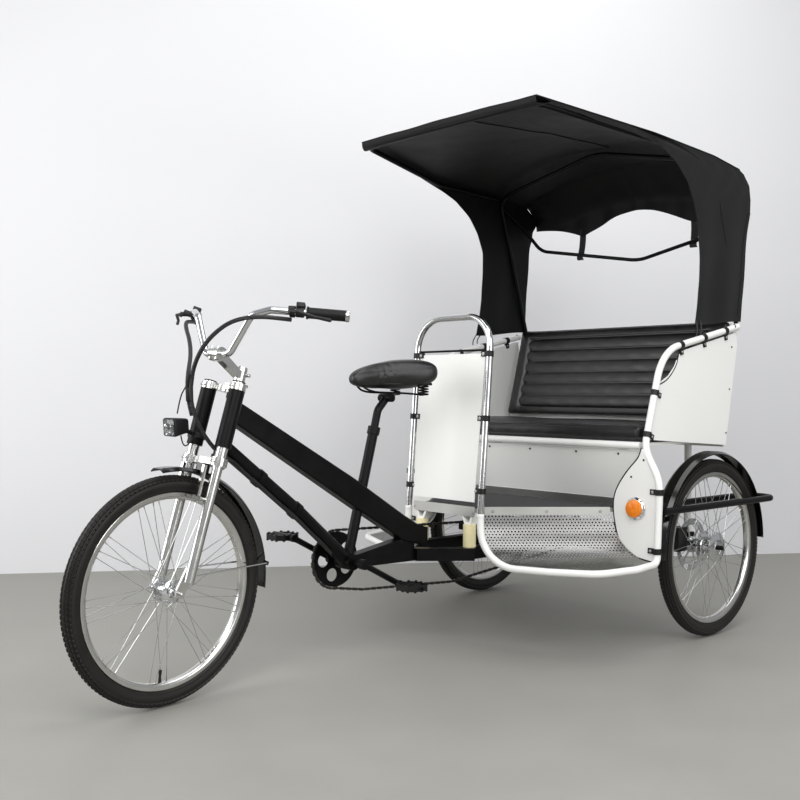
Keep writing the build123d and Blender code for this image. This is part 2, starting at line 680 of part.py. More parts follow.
def hoop_panel():
    """Panel between the posts."""
    low, high = hoop_at(522), hoop_at(1048)
    reach_low, reach_high = low[1] - HOOP_RADIUS - SEAT_GAP, high[1] - HOOP_RADIUS - SEAT_GAP
    plane = Plane(origin=(low[0], 0, low[2]), x_dir=(0, 1, 0),
                  z_dir=Vector(0, 1, 0).cross(Vector(high[0] - low[0], 0, high[2] - low[2])))
    length = hypot(high[0] - low[0], high[2] - low[2])
    face = make_face(Polyline((-reach_low, 0), (reach_low, 0), (reach_high, length),
                              (-reach_high, length), close=True))
    return extrude(plane * face, amount=SHEET / 2, both=True)


FLOOR_EDGE_FRONT = (780.0, 140.0)
FLOOR_EDGE_REAR = (404.0, 444.0)
FLOOR_REAR = 330.0
FLOOR_FRONT = 845.0


def floor_outline(inset=0.0):
    """The footwell's plan outline."""
    fx, fy = FLOOR_EDGE_FRONT
    rx, ry = FLOOR_EDGE_REAR
    left = [(FLOOR_FRONT - inset, fy - inset), (fx - inset, fy - inset), (rx, ry - inset),
            (FLOOR_REAR, ry - inset)]
    return left + [(x, -y) for x, y in reversed(left)]


EDGE_STRIP = 30.0


def floor_edges():
    """Bright strips round the floor: between the posts, on both slants and under the seat."""
    low = FLOOR_TOP - EDGE_STRIP
    reach = HOOP_FOOT[1] - HOOP_RADIUS - 1
    front = front_plate([(-reach, low), (reach, low), (reach, FLOOR_TOP + 5), (-reach, FLOOR_TOP + 5)],
                        FLOOR_FRONT + SEAT_GAP, FLOOR_FRONT + SEAT_GAP + SHEET)
    slant = slant_strip(SEAT_GAP, SEAT_GAP + SHEET, low, FLOOR_TOP)
    return group(front, pair(slant))


def slant_strip(near, far, low, top):
    """An upright strip along the floor's left slanted edge, between two distances out from it."""
    (fx, fy), (rx, ry) = FLOOR_EDGE_FRONT, FLOOR_EDGE_REAR
    length = hypot(rx - fx, ry - fy)
    nx, ny = (ry - fy) / length, (fx - rx) / length
    return flat_plate([(fx + nx * near, fy + ny * near), (fx + nx * far, fy + ny * far),
                       (WING_X + 5 + nx * far, edge_y(WING_X + 5) + ny * far),
                       (WING_X + 5 + nx * near, edge_y(WING_X + 5) + ny * near)], low, top)


def edge_y(x):
    """Half width of the floor where its slanted edge passes x."""
    (fx, fy), (rx, ry) = FLOOR_EDGE_FRONT, FLOOR_EDGE_REAR
    return fy + (x - fx) * (ry - fy) / (rx - fx)


def floor_board():
    """Board under the feet."""
    return flat_plate(floor_outline(), FLOOR_TOP - FLOOR_MAT - FLOOR_BOARD, FLOOR_TOP - FLOOR_MAT)


MAT_GAP = 10.0                  # between the seat front's foot and the mat


def floor_mat():
    """Mat on the board, up to the panel under the seat."""
    panel = block(60, 1200, 60, (SEAT_FRONT_FOOT + MAT_GAP - 30, 0, FLOOR_TOP))
    return flat_plate(floor_outline(6.0), FLOOR_TOP - FLOOR_MAT, FLOOR_TOP) - panel


TUBE_ROUTE = [
    # x, y, z, bend radius
    (851.5, 166.7, HOOP_JOINT_Z + 14, None),
    (857.0, 208.0, 336.0, 45.0),
    (843.5, 290.0, 315.0, 60.0),
    (773.0, 428.0, 305.0, 150.0),
    (711.5, 588.0, 303.0, 80.0),
    (554.0, 637.0, 305.0, 100.0),
    (430.0, 650.0, 310.0, 20.0),
    (420.0, 640.0, 610.0, 120.0),
    (420.0, 560.0, 740.0, 90.0),
    (364.0, 560.0, 930.0, 150.0),
    (300.0, 560.0, 1056.0, 60.0),
    (150.0, 560.0, 1097.0, 150.0),
    (-224.0, 560.0, 1176.0, None),
]


def cabin_tubes():
    """One long bent tube a side: step edge, wing edge, side wall and arm rail."""
    points = [row[:3] for row in TUBE_ROUTE]
    bends = [row[3] for row in TUBE_ROUTE[1:-1]]
    lug_inner, lug_outer = HOOD_HALF - 22, HOOD_HALF - CLOTH - SEAT_GAP
    lug = block(52, lug_outer - lug_inner, LUG_TOP - PANEL_TOP - SEAT_GAP,
                (-240, (lug_inner + lug_outer) / 2, (LUG_TOP + PANEL_TOP + SEAT_GAP) / 2))
    above = block(60, 100, 60, (points[0][0], points[0][1], HOOP_JOINT_Z + 30))
    return pair((bar(points, CABIN_TUBE_RADIUS, bends=bends) - above).fuse(lug))


PANEL_TOP = 1165.0          # top of the rear panel; the hood's lugs start above it
LUG_TOP = 1190.0
STEP_Z = 315.0
STEP_BEND = 55.0


def steps():
    """Scoop-shaped side steps between the floor's slanted edge and the outer tube."""
    fx, fy = FLOOR_EDGE_FRONT
    rx, ry = FLOOR_EDGE_REAR
    length = hypot(rx - fx, ry - fy)
    along = Vector((rx - fx) / length, (ry - fy) / length, 0)
    outward = Vector(-along.Y, along.X, 0) * -1
    if outward.Y < 0:
        outward = outward * -1
    plane = Plane(origin=(fx, fy, 0) + outward * 1.0 - along * 60, x_dir=outward, z_dir=-along)
    section = step_section(plane)
    sheet = extrude(section, amount=-(length + 260))
    return pair(sheet & flat_plate(STEP_PLAN, 0, FLOOR_TOP - EDGE_STRIP - SEAT_GAP))


def step_section(plane):
    """Cross-section of the step's sheet: down from the floor, round, and out."""
    t = SHEET
    wall = Line((0, FLOOR_TOP), (0, STEP_Z + STEP_BEND))
    bend = RadiusArc((0, STEP_Z + STEP_BEND), (STEP_BEND, STEP_Z), -STEP_BEND)
    tray = Line((STEP_BEND, STEP_Z), (400, STEP_Z))
    edge = Line((400, STEP_Z), (400, STEP_Z + t))
    tray_top = Line((400, STEP_Z + t), (STEP_BEND, STEP_Z + t))
    bend_top = RadiusArc((STEP_BEND, STEP_Z + t), (t, STEP_Z + STEP_BEND), STEP_BEND - t)
    wall_in = Line((t, STEP_Z + STEP_BEND), (t, FLOOR_TOP))
    cap = Line((t, FLOOR_TOP), (0, FLOOR_TOP))
    return plane * make_face([wall, bend, tray, edge, tray_top, bend_top, wall_in, cap])


STEP_PLAN = [
    # x, y: inside the outer tube, ahead of the wing
    (787.2, RAIL_Y + 21), (804.2, RAIL_Y + 21), (836, 212), (826, 284), (756, 421), (697, 573),
    (553, 620), (424.5, 630), (424.5, 420),
]

WING_EDGE = [
    # y, z of the wing's rounded inner edge, from the tip down
    (543, 714), (518, 668), (487, 630), (458, 590), (442, 548), (439, 504), (449, 462), (464, 420),
    (487, 379), (519, 348), (560, 330),
]
WING_OUTLINE = WING_EDGE + [(627, 332), (622, 560), (611, 602), (560, 694)]


def wings():
    """Flat panels either side of the footwell."""
    return pair(front_plate(WING_OUTLINE, WING_X - 2.5, WING_X + 2.5))


LAMP_Y, LAMP_Z = 523.0, 504.0


def wing_lamps():
    """Round amber lamps on bright bases."""
    base = post((WING_X + 2.5 + SEAT_GAP, LAMP_Y, LAMP_Z), (WING_X + 9, LAMP_Y, LAMP_Z), 39)
    lens = post((WING_X + 9, LAMP_Y, LAMP_Z), (WING_X + 21, LAMP_Y, LAMP_Z), 28.5)
    return pair(base.fuse(lens))


SIDE_REAR = [(-141.0, 713.0), (-222.0, 1105.0)]
SIDE_OUTLINE = [
    # x, z
    (398, 752), (345, 925), (318, 950), (264, 974), (223, 1010), (200, 1046), (176, 1067), (120, 1080),
    (-208, 1152), SIDE_REAR[1], SIDE_REAR[0], (400, 747),
]


def side_walls():
    """Side wall panels inside the bent tube."""
    return pair(side_plate(SIDE_OUTLINE, SIDE_Y - SHEET / 2, SIDE_Y + SHEET / 2))


SEAT_FRONT_HALF = 490.0
SEAT_FRONT_FOOT = 345.0


def seat_front():
    """Leaning panel under the front of the seat."""
    foot, foot_z = SEAT_FRONT_FOOT, FLOOR_TOP - FLOOR_MAT + SEAT_GAP
    return side_plate([(foot, foot_z), (foot + 4, foot_z), (397, 708), (393, 708)],
                      -SEAT_FRONT_HALF, SEAT_FRONT_HALF)


SEAT_POSTS = (310.0, -136.0)


def seat_frame():
    """Seat board, its front tube and the tube that closes the rear."""
    board = block(538, 1090, 10, (127, 0, SEAT_Z - 5))
    front = post((402, -540, 724), (402, 540, 724), 14)
    rear = post((-136, -SIDE_Y + 2, SEAT_Z - 15), (-136, SIDE_Y - 2, SEAT_Z - 15), 14)
    whole = board.fuse(front, rear)
    for x in SEAT_POSTS:
        for side in (1, -1):
            foot = (x, side * CROSS_HALF, RAIL_TOP + SEAT_GAP)
            whole = whole.fuse(post(foot, (x, side * CROSS_HALF, SEAT_Z - 8), 14))
    return whole


def seat_cushion():
    """Plain padded seat."""
    body = block(440, 1080, CUSHION_HEIGHT, (180, 0, SEAT_Z + SEAT_GAP + CUSHION_HEIGHT / 2))
    return fillet(body.edges().filter_by(Axis.Y), 18)


BACK_LEAN = [(-45.0, 812.0), (-205.0, 1215.0)]      # front face of the pad, foot and top
BACK_THICK = 65.0


def back_plane(offset=0.0):
    """Plane of the seat back's face: X across to the right, Y up the lean."""
    (x0, z0), (x1, z1) = BACK_LEAN
    up = Vector(x1 - x0, 0, z1 - z0).normalized()
    plane = Plane(origin=(x0, 0, z0), x_dir=(0, 1, 0), z_dir=Vector(0, 1, 0).cross(up))
    return plane.offset(offset)


def wall_rear(z):
    """X of the side walls' rear edge at a height."""
    (x0, z0), (x1, z1) = SIDE_REAR
    return x0 + (z - z0) * (x1 - x0) / (z1 - z0)


def backrest():
    """Padded back: its face leans more than the wall behind it."""
    (x0, z0), (x1, z1) = BACK_LEAN
    length = hypot(x1 - x0, z1 - z0)
    face = extrude(back_plane(-200) * Pos(0, length / 2) * RectangleRounded(BACK_WIDTH, length, 40), amount=200)
    rear = SHEET + SEAT_GAP
    room = side_plate([(x0 + 20, z0 - 1), (x1 + 20, z1 + 40), (wall_rear(z1 + 40) + rear, z1 + 40),
                       (wall_rear(z0 - 1) + rear, z0 - 1)], -600, 600)
    return face & room


def rear_panel():
    """Outer skin of the cabin behind the pad."""
    foot, top = SEAT_Z + SEAT_GAP, PANEL_TOP
    half = SIDE_Y - SHEET / 2 - SEAT_GAP
    return side_plate([(wall_rear(foot), foot), (wall_rear(foot) + SHEET, foot),
                       (wall_rear(top) + SHEET, top), (wall_rear(top), top)], -half, half)


# ================================================================ hood
HOOD_STATIONS = [
    # x, half width, corner z, crown z
    (-330.0, 555.0, 1700.0, 1790.0),
    (-240.0, 555.0, 1800.0, 1900.0),
    (-50.0, 555.0, 1822.0, 1945.0),
    (350.0, 555.0, 1838.0, 1940.0),
    (872.0, 440.0, 1889.0, 1893.0),
]
FLAP_OUTLINE = [
    # x, z of the flap's front edge from the brim down, then its foot, which slopes with the arm tube
    (900, 2050), (900, 1850), (350, 1815), (135, 1700), (50, 1550), (50, 1330), (80, 1170), (-262, 1198),
]


def hood_volume(shrink):
    """Solid under the hood's outer face, all faces moved in by shrink."""
    faces = []
    for index, (x, half, corner, crown) in enumerate(HOOD_STATIONS):
        half, corner, crown = half - shrink, corner - shrink, crown - shrink
        if index == 0:
            x += shrink
        if index == len(HOOD_STATIONS) - 1:
            x += 0 if shrink == 0 else 5
        arch = ThreePointArc((-half, corner), (0, crown), (half, corner))
        low = 1100.0
        sides = Polyline((half, corner), (half, low), (-half, low), (-half, corner))
        faces.append(Plane.YZ.offset(x) * make_face([arch, *sides.edges()]))
    return loft(faces, ruled=True)


def hood_cloth():
    """Hood as a closed shell: roof with its brim, side flaps and a short rear flap."""
    shell = hood_volume(0.0) - hood_volume(CLOTH)
    rear_x = HOOD_STATIONS[0][0] - 40
    keep = side_plate(FLAP_OUTLINE + [(rear_x + 65, 1560), (rear_x, 1560), (rear_x, 2050)], -700, 700)
    rear_cut = block(200, 2 * (HOOD_STATIONS[0][1] - CLOTH - 1), 560, (-330, 0, 1630 - 280))
    return (shell & keep) - rear_cut


FOOT_RISE = 2.9                 # brings the leaning leg's lowest edge just over its lug


def hood_frame():
    """Folding hood's tubes: legs, main bow, brim rails, spine and rear bow."""
    inset = CLOTH + HOOD_TUBE_RADIUS + SEAT_GAP
    y = HOOD_HALF - inset
    r = HOOD_TUBE_RADIUS
    foot = LUG_TOP + FOOT_RISE
    bow = bar([(-248, -y, foot), (-55, -y, 1806), (-55, 0, 1925), (-55, y, 1806), (-248, y, foot)],
              r, bends=[70, 300, 70])
    front_y = HOOD_STATIONS[-1][1] - inset
    rear = bar([(-66, -y + 3, 1766), (-215, -y + 3, 1690), (-300, -y + 45, 1585), (-372, 0, 1503),
                (-300, y - 45, 1585), (-215, y - 3, 1690), (-66, y - 3, 1766)], r - 1, bends=[50, 60, 200, 60, 50])
    brim = bar([(-55, -y, 1800), (350, -y, 1815), (860, -front_y, 1870), (860, front_y, 1870),
                (350, y, 1815), (-55, y, 1800)], r, bends=[150, 60, 60, 150])
    return bow.fuse(brim, rear)


# ================================================================ wheel covers
FENDER_RADIUS = 362.0
FENDER_WIDTH = 60.0


def fender_strip(radius, width, start, arc):
    """Curved guard about the Y axis from a start angle, counted up from forward."""
    half = width / 2
    crown = half * 0.55
    profile = [
        # radius, y
        (radius, -crown), (radius, crown), (radius - 9, half), (radius - 12, half - 1),
        (radius - SHEET, crown - 1), (radius - SHEET, 1 - crown), (radius - 12, 1 - half), (radius - 9, -half),
    ]
    return Rot(0, -start, 0) * Rot(0, -arc, 0) * turned(profile, arc)


def rear_fenders():
    """Half-round covers over the rear wheels."""
    strip = fender_strip(FENDER_RADIUS, FENDER_WIDTH, -2, 181)
    cover = Pos(0, TRACK / 2, TYRE_RADIUS) * strip
    rise = GUARD_Z - TYRE_RADIUS
    reach = sqrt((FENDER_RADIUS - 8) ** 2 - rise ** 2)
    for end in (1, -1):
        outer = post((end * reach, TRACK / 2 + 20, GUARD_Z),
                     (end * reach, GUARD_OUTER_Y - GUARD_RADIUS - SEAT_GAP, GUARD_Z), 5)
        inner = post((end * reach, TRACK / 2 - 20, GUARD_Z),
                     (end * reach, GUARD_INNER_Y + GUARD_RADIUS + SEAT_GAP, GUARD_Z), 5)
        cover = cover.fuse(outer, inner)
    return pair(cover)


GUARD_Z = 500.0
GUARD_RADIUS = 12.5
GUARD_OUTER_Y, GUARD_INNER_Y, GUARD_REAR = TRACK / 2 + 61.5, TRACK / 2 - 68.5, -385.0


def wheel_guards():
    """Tube loops round the rear wheels at hub height."""
    points = [(WING_X - 13, GUARD_OUTER_Y, GUARD_Z), (GUARD_REAR, GUARD_OUTER_Y, GUARD_Z),
              (GUARD_REAR, GUARD_INNER_Y, GUARD_Z), (WING_X - 2.5 - SEAT_GAP, GUARD_INNER_Y, GUARD_Z)]
    return pair(bar(points, GUARD_RADIUS, bends=[55, 55]))


def calipers():
    """Brake calipers that straddle the discs, each on a plate round the axle's housing."""
    y = TRACK / 2 - ROTOR_Y
    plate_y = HOUSING_HALF - 12
    body = block(60, y + 22 - plate_y, 90, (95, (y + 22 + plate_y) / 2, TYRE_RADIUS + 30))
    slot_end = ROTOR_RADIUS + 8
    slot = block(2 * slot_end, 12, 200, (0, y, TYRE_RADIUS + 30))
    plate = side_plate([(-30, TYRE_RADIUS - 26), (-30, TYRE_RADIUS + 30), (70, TYRE_RADIUS + 70),
                        (110, TYRE_RADIUS + 70), (110, TYRE_RADIUS - 10), (30, TYRE_RADIUS - 32)],
                       plate_y - 6, plate_y + 1)
    hole = Pos(0, plate_y, TYRE_RADIUS) * Rot(90, 0, 0) * Cylinder(AXLE_TUBE_RADIUS + SEAT_GAP, 60)
    return pair(body.fuse(plate) - slot - hole)


# ================================================================ front details
FRONT_FENDER_RADIUS = 356.0
FENDER_EDGE = FRONT_FENDER_RADIUS - 9.0     # radius of the fender's rolled edge
FRONT_FENDER_SPAN = (83.0, 103.0)   # degrees above forward where it starts, and its length


STAY_ANGLE = 173.0              # where the stays meet the fender, degrees above forward
STAY_HALF = 34.0                # half the distance between the stays at the fender


def front_fender():
    """Front mudguard, from just ahead of the top round to the back, with its hanger and stays."""
    strip = on_front_axle(fender_strip(FRONT_FENDER_RADIUS, FENDER_WIDTH, *FRONT_FENDER_SPAN))
    top = AXLE_W + FRONT_FENDER_RADIUS - 3
    hanger = flat_plate([(38, -16), (64, -16), (64, 16), (38, 16)], top, LOWER_CROWN - 9 - SEAT_GAP)
    whole = strip.fuse(steered(hanger))
    turn = radians(STAY_ANGLE - RAKE)
    end_u, end_w = AXLE_U + FENDER_EDGE * cos(turn), AXLE_W + FENDER_EDGE * sin(turn)
    for side in (1, -1):
        leg = post((FORK_OFFSET, side * LEG_SPREAD, LEG_FOOT - 20), (FORK_OFFSET, side * LEG_SPREAD, LEG_FOOT + 90),
                   LEG_RADIUS + SEAT_GAP)
        stay = post((FORK_OFFSET - 5, side * (LEG_SPREAD - 4), LEG_FOOT + 18), (end_u, side * STAY_HALF, end_w), 2.5)
        tab = Pos(end_u, side * (STAY_HALF - 2), end_w) * Rot(0, STAY_ANGLE - 90, 0) * Box(12, 9, 14)
        whole = whole.fuse(steered(stay.fuse(tab) - leg))
    return whole


LAMP_FOOT = -150.0          # height of the headlight's clamp along the axis
LAMP_CENTRE = (150.0, -38.0, -146.0)


def headlight():
    """Boxy headlight with its round lens, its arm and the clamp round the right fork cover."""
    case = fillet(Box(50, 54, 50).edges().filter_by(Axis.X), 13)
    lens = Pos(27, 0, 0) * Rot(0, 90, 0) * Cylinder(20, 6)
    body = Pos(*LAMP_CENTRE) * Rot(0, -8, 0) * case.fuse(lens)
    ring = post((FORK_OFFSET, -LEG_SPREAD, LAMP_FOOT - 8), (FORK_OFFSET, -LEG_SPREAD, LAMP_FOOT + 8),
                SLEEVE_RADIUS + 3, SLEEVE_RADIUS + SEAT_GAP)
    arm = post((FORK_OFFSET + 20, -LEG_SPREAD + 18, LAMP_FOOT), LAMP_CENTRE, 5)
    return body.fuse(ring, arm)


PAD_GAP = 3.5               # brake pad to rim


def brake_arms():
    """Rim brake: an arm a leg on its boss, with a pad beside the rim."""
    pieces = []
    pad_w = AXLE_W + sqrt((RIM_RADIUS - RIM_DEPTH / 2) ** 2 - (ARM_U - AXLE_U) ** 2)
    for side in (1, -1):
        arm = side_plate([(ARM_U - 5, pad_w - 12), (ARM_U + 7, pad_w - 12), (ARM_U + 9, pad_w + 98),
                          (ARM_U - 1, pad_w + 98)], side * 50 - 5, side * 50 + 5)
        leg_front = FORK_OFFSET + LEG_RADIUS
        boss = post((leg_front + SEAT_GAP, side * 59, pad_w), (ARM_U + 5, side * 59, pad_w), 7)
        pad_in = RIM_WIDTH / 2 + PAD_GAP
        pad = block(34, 46 - pad_in, 11, (ARM_U, side * (pad_in + 46) / 2, pad_w))
        pieces.append(arm.fuse(boss, pad))
    return group(*pieces)


ARM_U = 80.0                # the brake arms' line ahead of the steering axis


# ================================================================ cables
CABLE_RADIUS = 6.0
UPPER_CABLE = [
    # steering frame: forward, left, up; from the left controls to the head
    (52, 230, 214), (84, 219, 207), (126, 203, 197), (166, 178, 182), (196, 146, 158), (208, 112, 126),
    (212, 80, 90), (205, 50, 50), (190, 24, 10), (172, 10, -32), (156, 6, -70), (130, 6, -106),
    (98, 6, -130), (70, 7, -145), (48, 8, -154), (48, 8, -170),
]
RIGHT_CABLE = [
    # steering frame; from the right controls to the first cable's side
    (52, -230, 214), (84, -207, 204), (118, -176, 188), (134, -140, 160), (142, -104, 130), (150, -72, 96),
    (160, -44, 58), (172, -22, 18), (173, -8, -26), (156, -6.4, -70), (131, -6.4, -106),
]
LOWER_CABLE = [
    # steering frame as stored straight ahead; past the head and along the down tube under its collars
    (48, 8, -170.3), (48, 8, -189), (31, 26, -195), (4, 37, -198), (-26, 36, -204), (-55, 27, -213),
    (-88, 24, -228), (-147.6, 24, -249.8), (-229, 25.5, -286.5), (-311.1, 24, -315), (-380, 25, -351),
    (-440, 25, -374), (-486, 22, -398),
]


def cable(points, radius):
    """A cable through points, each corner on an arc as large as its two runs allow."""
    vectors = [Vector(*point) for point in points]
    bends = []
    for before, here, after in zip(vectors, vectors[1:], vectors[2:]):
        turn = radians((here - before).get_angle(after - here))
        shorter = min((here - before).length, (after - here).length)
        bends.append(0.45 * shorter / tan(turn / 2))
    print("cable radii", [round(bend) for bend in bends])
    return bar([tuple(vector) for vector in vectors], radius, bends=bends)


# ================================================================ all pieces
def build_nodes():
    """Every node by name, in the vehicle's own axes."""
    nodes = {}
    wheel_places = {
        # wheel name: placing function
        "front": on_front_axle,
        "rear_left": lambda shape: Pos(0, REAR_WHEEL_Y, TYRE_RADIUS) * shape,
        "rear_right": lambda shape: Pos(0, -REAR_WHEEL_Y, TYRE_RADIUS) * mirror(shape, about=Plane.XZ),
    }
    front_parts = (tyre(), wire_rim(FRONT_FLANGE_RADIUS, FRONT_FLANGE_Y),
                   hub(FRONT_FLANGE_RADIUS, FRONT_FLANGE_Y, 18, FRONT_HUB_HALF, FRONT_AXLE_RADIUS + RUN_GAP))
    rear_parts = (front_parts[0], wire_rim(REAR_FLANGE_RADIUS, REAR_FLANGE_Y), rear_hub())
    for name, place in wheel_places.items():
        tyre_piece, rim_piece, hub_piece = front_parts if name == "front" else rear_parts
        nodes[f"tyre_{name}"] = place(tyre_piece)
        nodes[f"rim_{name}"] = place(rim_piece)
        nodes[f"hub_{name}"] = place(hub_piece)

    nodes["fork"] = steered(fork())
    nodes["fork_sleeves"] = steered(fork_sleeves())
    nodes["stem"] = steered(stem())
    nodes["handlebar"] = steered(handlebar())
    nodes["grips"] = steered(grips())
    nodes["bar_controls"] = steered(controls())
    nodes["headlight"] = steered(headlight())
    nodes["fender_front"] = front_fender()
    nodes["brake_arms"] = steered(brake_arms())
    nodes["cable_upper"] = steered(cable(UPPER_CABLE, CABLE_RADIUS))
    nodes["cable_right"] = steered(cable(RIGHT_CABLE, CABLE_RADIUS))

    nodes["main_beam"] = main_beam()
    nodes["head_tube"] = head_tube()
    nodes["down_tube"] = down_tube()
    nodes["seat_tube"] = seat_tube()
    nodes["seat_post"] = seat_post()
    nodes["saddle"] = saddle()
    nodes["crankset"] = crankset()
    nodes["pedal_left"] = pedal(1)
    nodes["pedal_right"] = pedal(-1)
    nodes["chain"] = chain()
    nodes["rear_axle"] = rear_axle()
    nodes["chassis_spine"] = chassis_spine()
    nodes["chassis_rails"] = chassis_rails()
    nodes["rubber_mounts"] = rubber_mounts()
    nodes["mount_brackets"] = mount_brackets()
    nodes["hoop"] = hoop()
    nodes["crossbar"] = crossbar()
    nodes["hoop_panel"] = hoop_panel()
    nodes["floor_board"] = floor_board()
    nodes["floor_mat"] = floor_mat()
    nodes["floor_edges"] = floor_edges()
    nodes["steps"] = steps()
    nodes["cabin_tubes"] = cabin_tubes()
    nodes["wings"] = wings()
    nodes["wing_lamps"] = wing_lamps()
    nodes["side_walls"] = side_walls()
    nodes["seat_front"] = seat_front()
    nodes["seat_frame"] = seat_frame()
    nodes["seat_cushion"] = seat_cushion()
    nodes["backrest"] = backrest()
    nodes["rear_panel"] = rear_panel()
    nodes["hood_cloth"] = hood_cloth()
    nodes["hood_frame"] = hood_frame()
    nodes["fenders_rear"] = rear_fenders()
    nodes["wheel_guards"] = wheel_guards()
    nodes["calipers"] = calipers()
    nodes["cable_lower"] = STEER_PLANE.location * cable(LOWER_CABLE, CABLE_RADIUS)
    return nodes


def main():
    """Build every node, put the origin at the middle of the footprint and write the files."""
    nodes = build_nodes()
    boxes = [shape.bounding_box() for shape in nodes.values()]
    front = max(box.max.X for box in boxes)
    rear = min(box.min.X for box in boxes)
    middle = (front + rear) / 2
    print(f"origin moved forward by {middle:.3f}, length {front - rear:.1f}")
    os.makedirs("parts", exist_ok=True)
    for name, shape in nodes.items():
        export_step(Pos(-middle, 0, 0) * shape, f"parts/{name}.step")


main()
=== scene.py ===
"""Looks of a pedal rickshaw: finishes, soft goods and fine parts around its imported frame.

Sizes are in millimetres until mm() or point() turns them into metres. X runs forward from the
rear axle, Y to the driver's left and Z up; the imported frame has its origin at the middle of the
footprint, so point() takes the rear axle's distance off.
"""
from __future__ import annotations

import json
import logging
from dataclasses import dataclass
from enum import Enum
from math import atan2, copysign, cos, degrees, exp, floor, hypot, pi, radians, sin, sqrt, tan, tau
from typing import Callable

import bmesh
import bpy
from bmesh.types import BMFace, BMVert, BMesh
from bpy.types import ID, Material, Node, NodeSocket, NodeTree, Object
from mathutils import Matrix, Vector

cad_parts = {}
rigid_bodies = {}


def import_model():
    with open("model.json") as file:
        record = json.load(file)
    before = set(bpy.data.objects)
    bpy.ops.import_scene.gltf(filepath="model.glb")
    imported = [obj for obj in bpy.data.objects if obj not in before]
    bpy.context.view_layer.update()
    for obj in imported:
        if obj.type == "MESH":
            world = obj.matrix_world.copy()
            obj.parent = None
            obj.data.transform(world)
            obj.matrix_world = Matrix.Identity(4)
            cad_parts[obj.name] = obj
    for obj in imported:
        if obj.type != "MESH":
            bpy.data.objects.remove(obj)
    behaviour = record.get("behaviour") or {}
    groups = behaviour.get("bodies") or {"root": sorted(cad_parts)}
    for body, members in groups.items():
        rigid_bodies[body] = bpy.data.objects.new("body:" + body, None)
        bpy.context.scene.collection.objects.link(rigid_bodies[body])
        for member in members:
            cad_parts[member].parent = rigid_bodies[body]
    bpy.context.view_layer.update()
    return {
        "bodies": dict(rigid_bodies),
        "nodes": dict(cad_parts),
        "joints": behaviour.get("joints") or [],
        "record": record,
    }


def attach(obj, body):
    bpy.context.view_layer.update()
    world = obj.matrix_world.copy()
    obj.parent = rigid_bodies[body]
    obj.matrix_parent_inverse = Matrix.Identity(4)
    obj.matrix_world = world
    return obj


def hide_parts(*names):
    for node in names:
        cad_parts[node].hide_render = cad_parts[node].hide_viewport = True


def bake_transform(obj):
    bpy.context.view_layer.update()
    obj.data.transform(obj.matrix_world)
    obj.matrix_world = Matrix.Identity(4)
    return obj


LOG = logging.getLogger("rickshaw")
SIDE_Y = 560                # middle plane of the cabin's side walls
AXLE_BEHIND = 956.283       # the rear axle's distance behind the frame's origin
HALF_TRACK = 580.5          # from the middle to a rear tyre's middle
Pair = tuple[float, float]
Triple = tuple[float, float, float]
Rows = tuple[tuple[float, ...], ...]


# ---------------------------------------------------------------- lengths and places
def mm(value: float) -> float:
    """Millimetres as metres."""
    return value / 1000


def point(x: float, y: float, z: float) -> Vector:
    """A place in the vehicle's own axes as a point of the frame.

    Args:
        x: millimetres ahead of the rear axle.
        y: millimetres to the left of the middle.
        z: millimetres above the ground.

    Returns:
        The point in metres.
    """
    return Vector((mm(x - AXLE_BEHIND), mm(y), mm(z)))


def metres(x: float, y: float, z: float) -> Vector:
    """A place or a length in millimetres as a vector in metres."""
    return Vector((mm(x), mm(y), mm(z)))


def offset(x: float, y: float, z: float) -> Matrix:
    """A move in millimetres."""
    return Matrix.Translation(metres(x, y, z))


def rotation(angle: float, axis: str) -> Matrix:
    """A turn of so many degrees about an axis."""
    return Matrix.Rotation(radians(angle), 4, axis)


def aimed(direction: Vector, ahead: str = "Z") -> Matrix:
    """The turn that points an axis in a direction."""
    return direction.to_track_quat(ahead, "Y").to_matrix().to_4x4()


@dataclass(frozen=True)
class SteeringAxis:
    """The leaning axis that the fork and the bar turn about, at rest a little to the left."""

    head_x: float = 1743
    head_z: float = 900
    rake: float = 16.2
    rest: float = 5.8

    def matrix(self) -> Matrix:
        """The frame of the steering group: forward, left and up along the axis, in metres."""
        head = Matrix.Translation(point(self.head_x, 0, self.head_z))
        return head @ rotation(-self.rake, "Y") @ rotation(self.rest, "Z")

    def place(self, forward: float, left: float, up: float) -> Vector:
        """A point of the steering group, given in its own millimetres."""
        return self.matrix() @ metres(forward, left, up)


STEERING = SteeringAxis()


# ---------------------------------------------------------------- colour and node helper
def linear(hex_colour: str) -> tuple[float, float, float, float]:
    """An sRGB hex colour as linear RGBA.

    Args:
        hex_colour: six hex digits, such as "d8d8d4".

    Returns:
        Four linear channels, alpha 1.
    """
    channels = [int(hex_colour[i:i + 2], 16) / 255 for i in (0, 2, 4)]
    values = [c / 12.92 if c <= 0.04045 else ((c + 0.055) / 1.055) ** 2.4 for c in channels]
    return (*values, 1)


def add_node(tree: NodeTree, kind: str, links: dict | None = None,
             values: dict | None = None, **settings) -> Node:
    """Add a node with its settings, socket values and incoming links.

    Args:
        tree: the node tree.
        kind: the node's type name after ShaderNode.
        links: input name or index to the output socket that feeds it.
        values: input name or index to a constant.
        settings: attributes of the node itself.

    Returns:
        The node.
    """
    node = tree.nodes.new("ShaderNode" + kind)
    for name, value in settings.items():
        setattr(node, name, value)
    for name, value in (values or {}).items():
        node.inputs[name].default_value = value
    for name, socket in (links or {}).items():
        tree.links.new(socket, node.inputs[name])
    return node


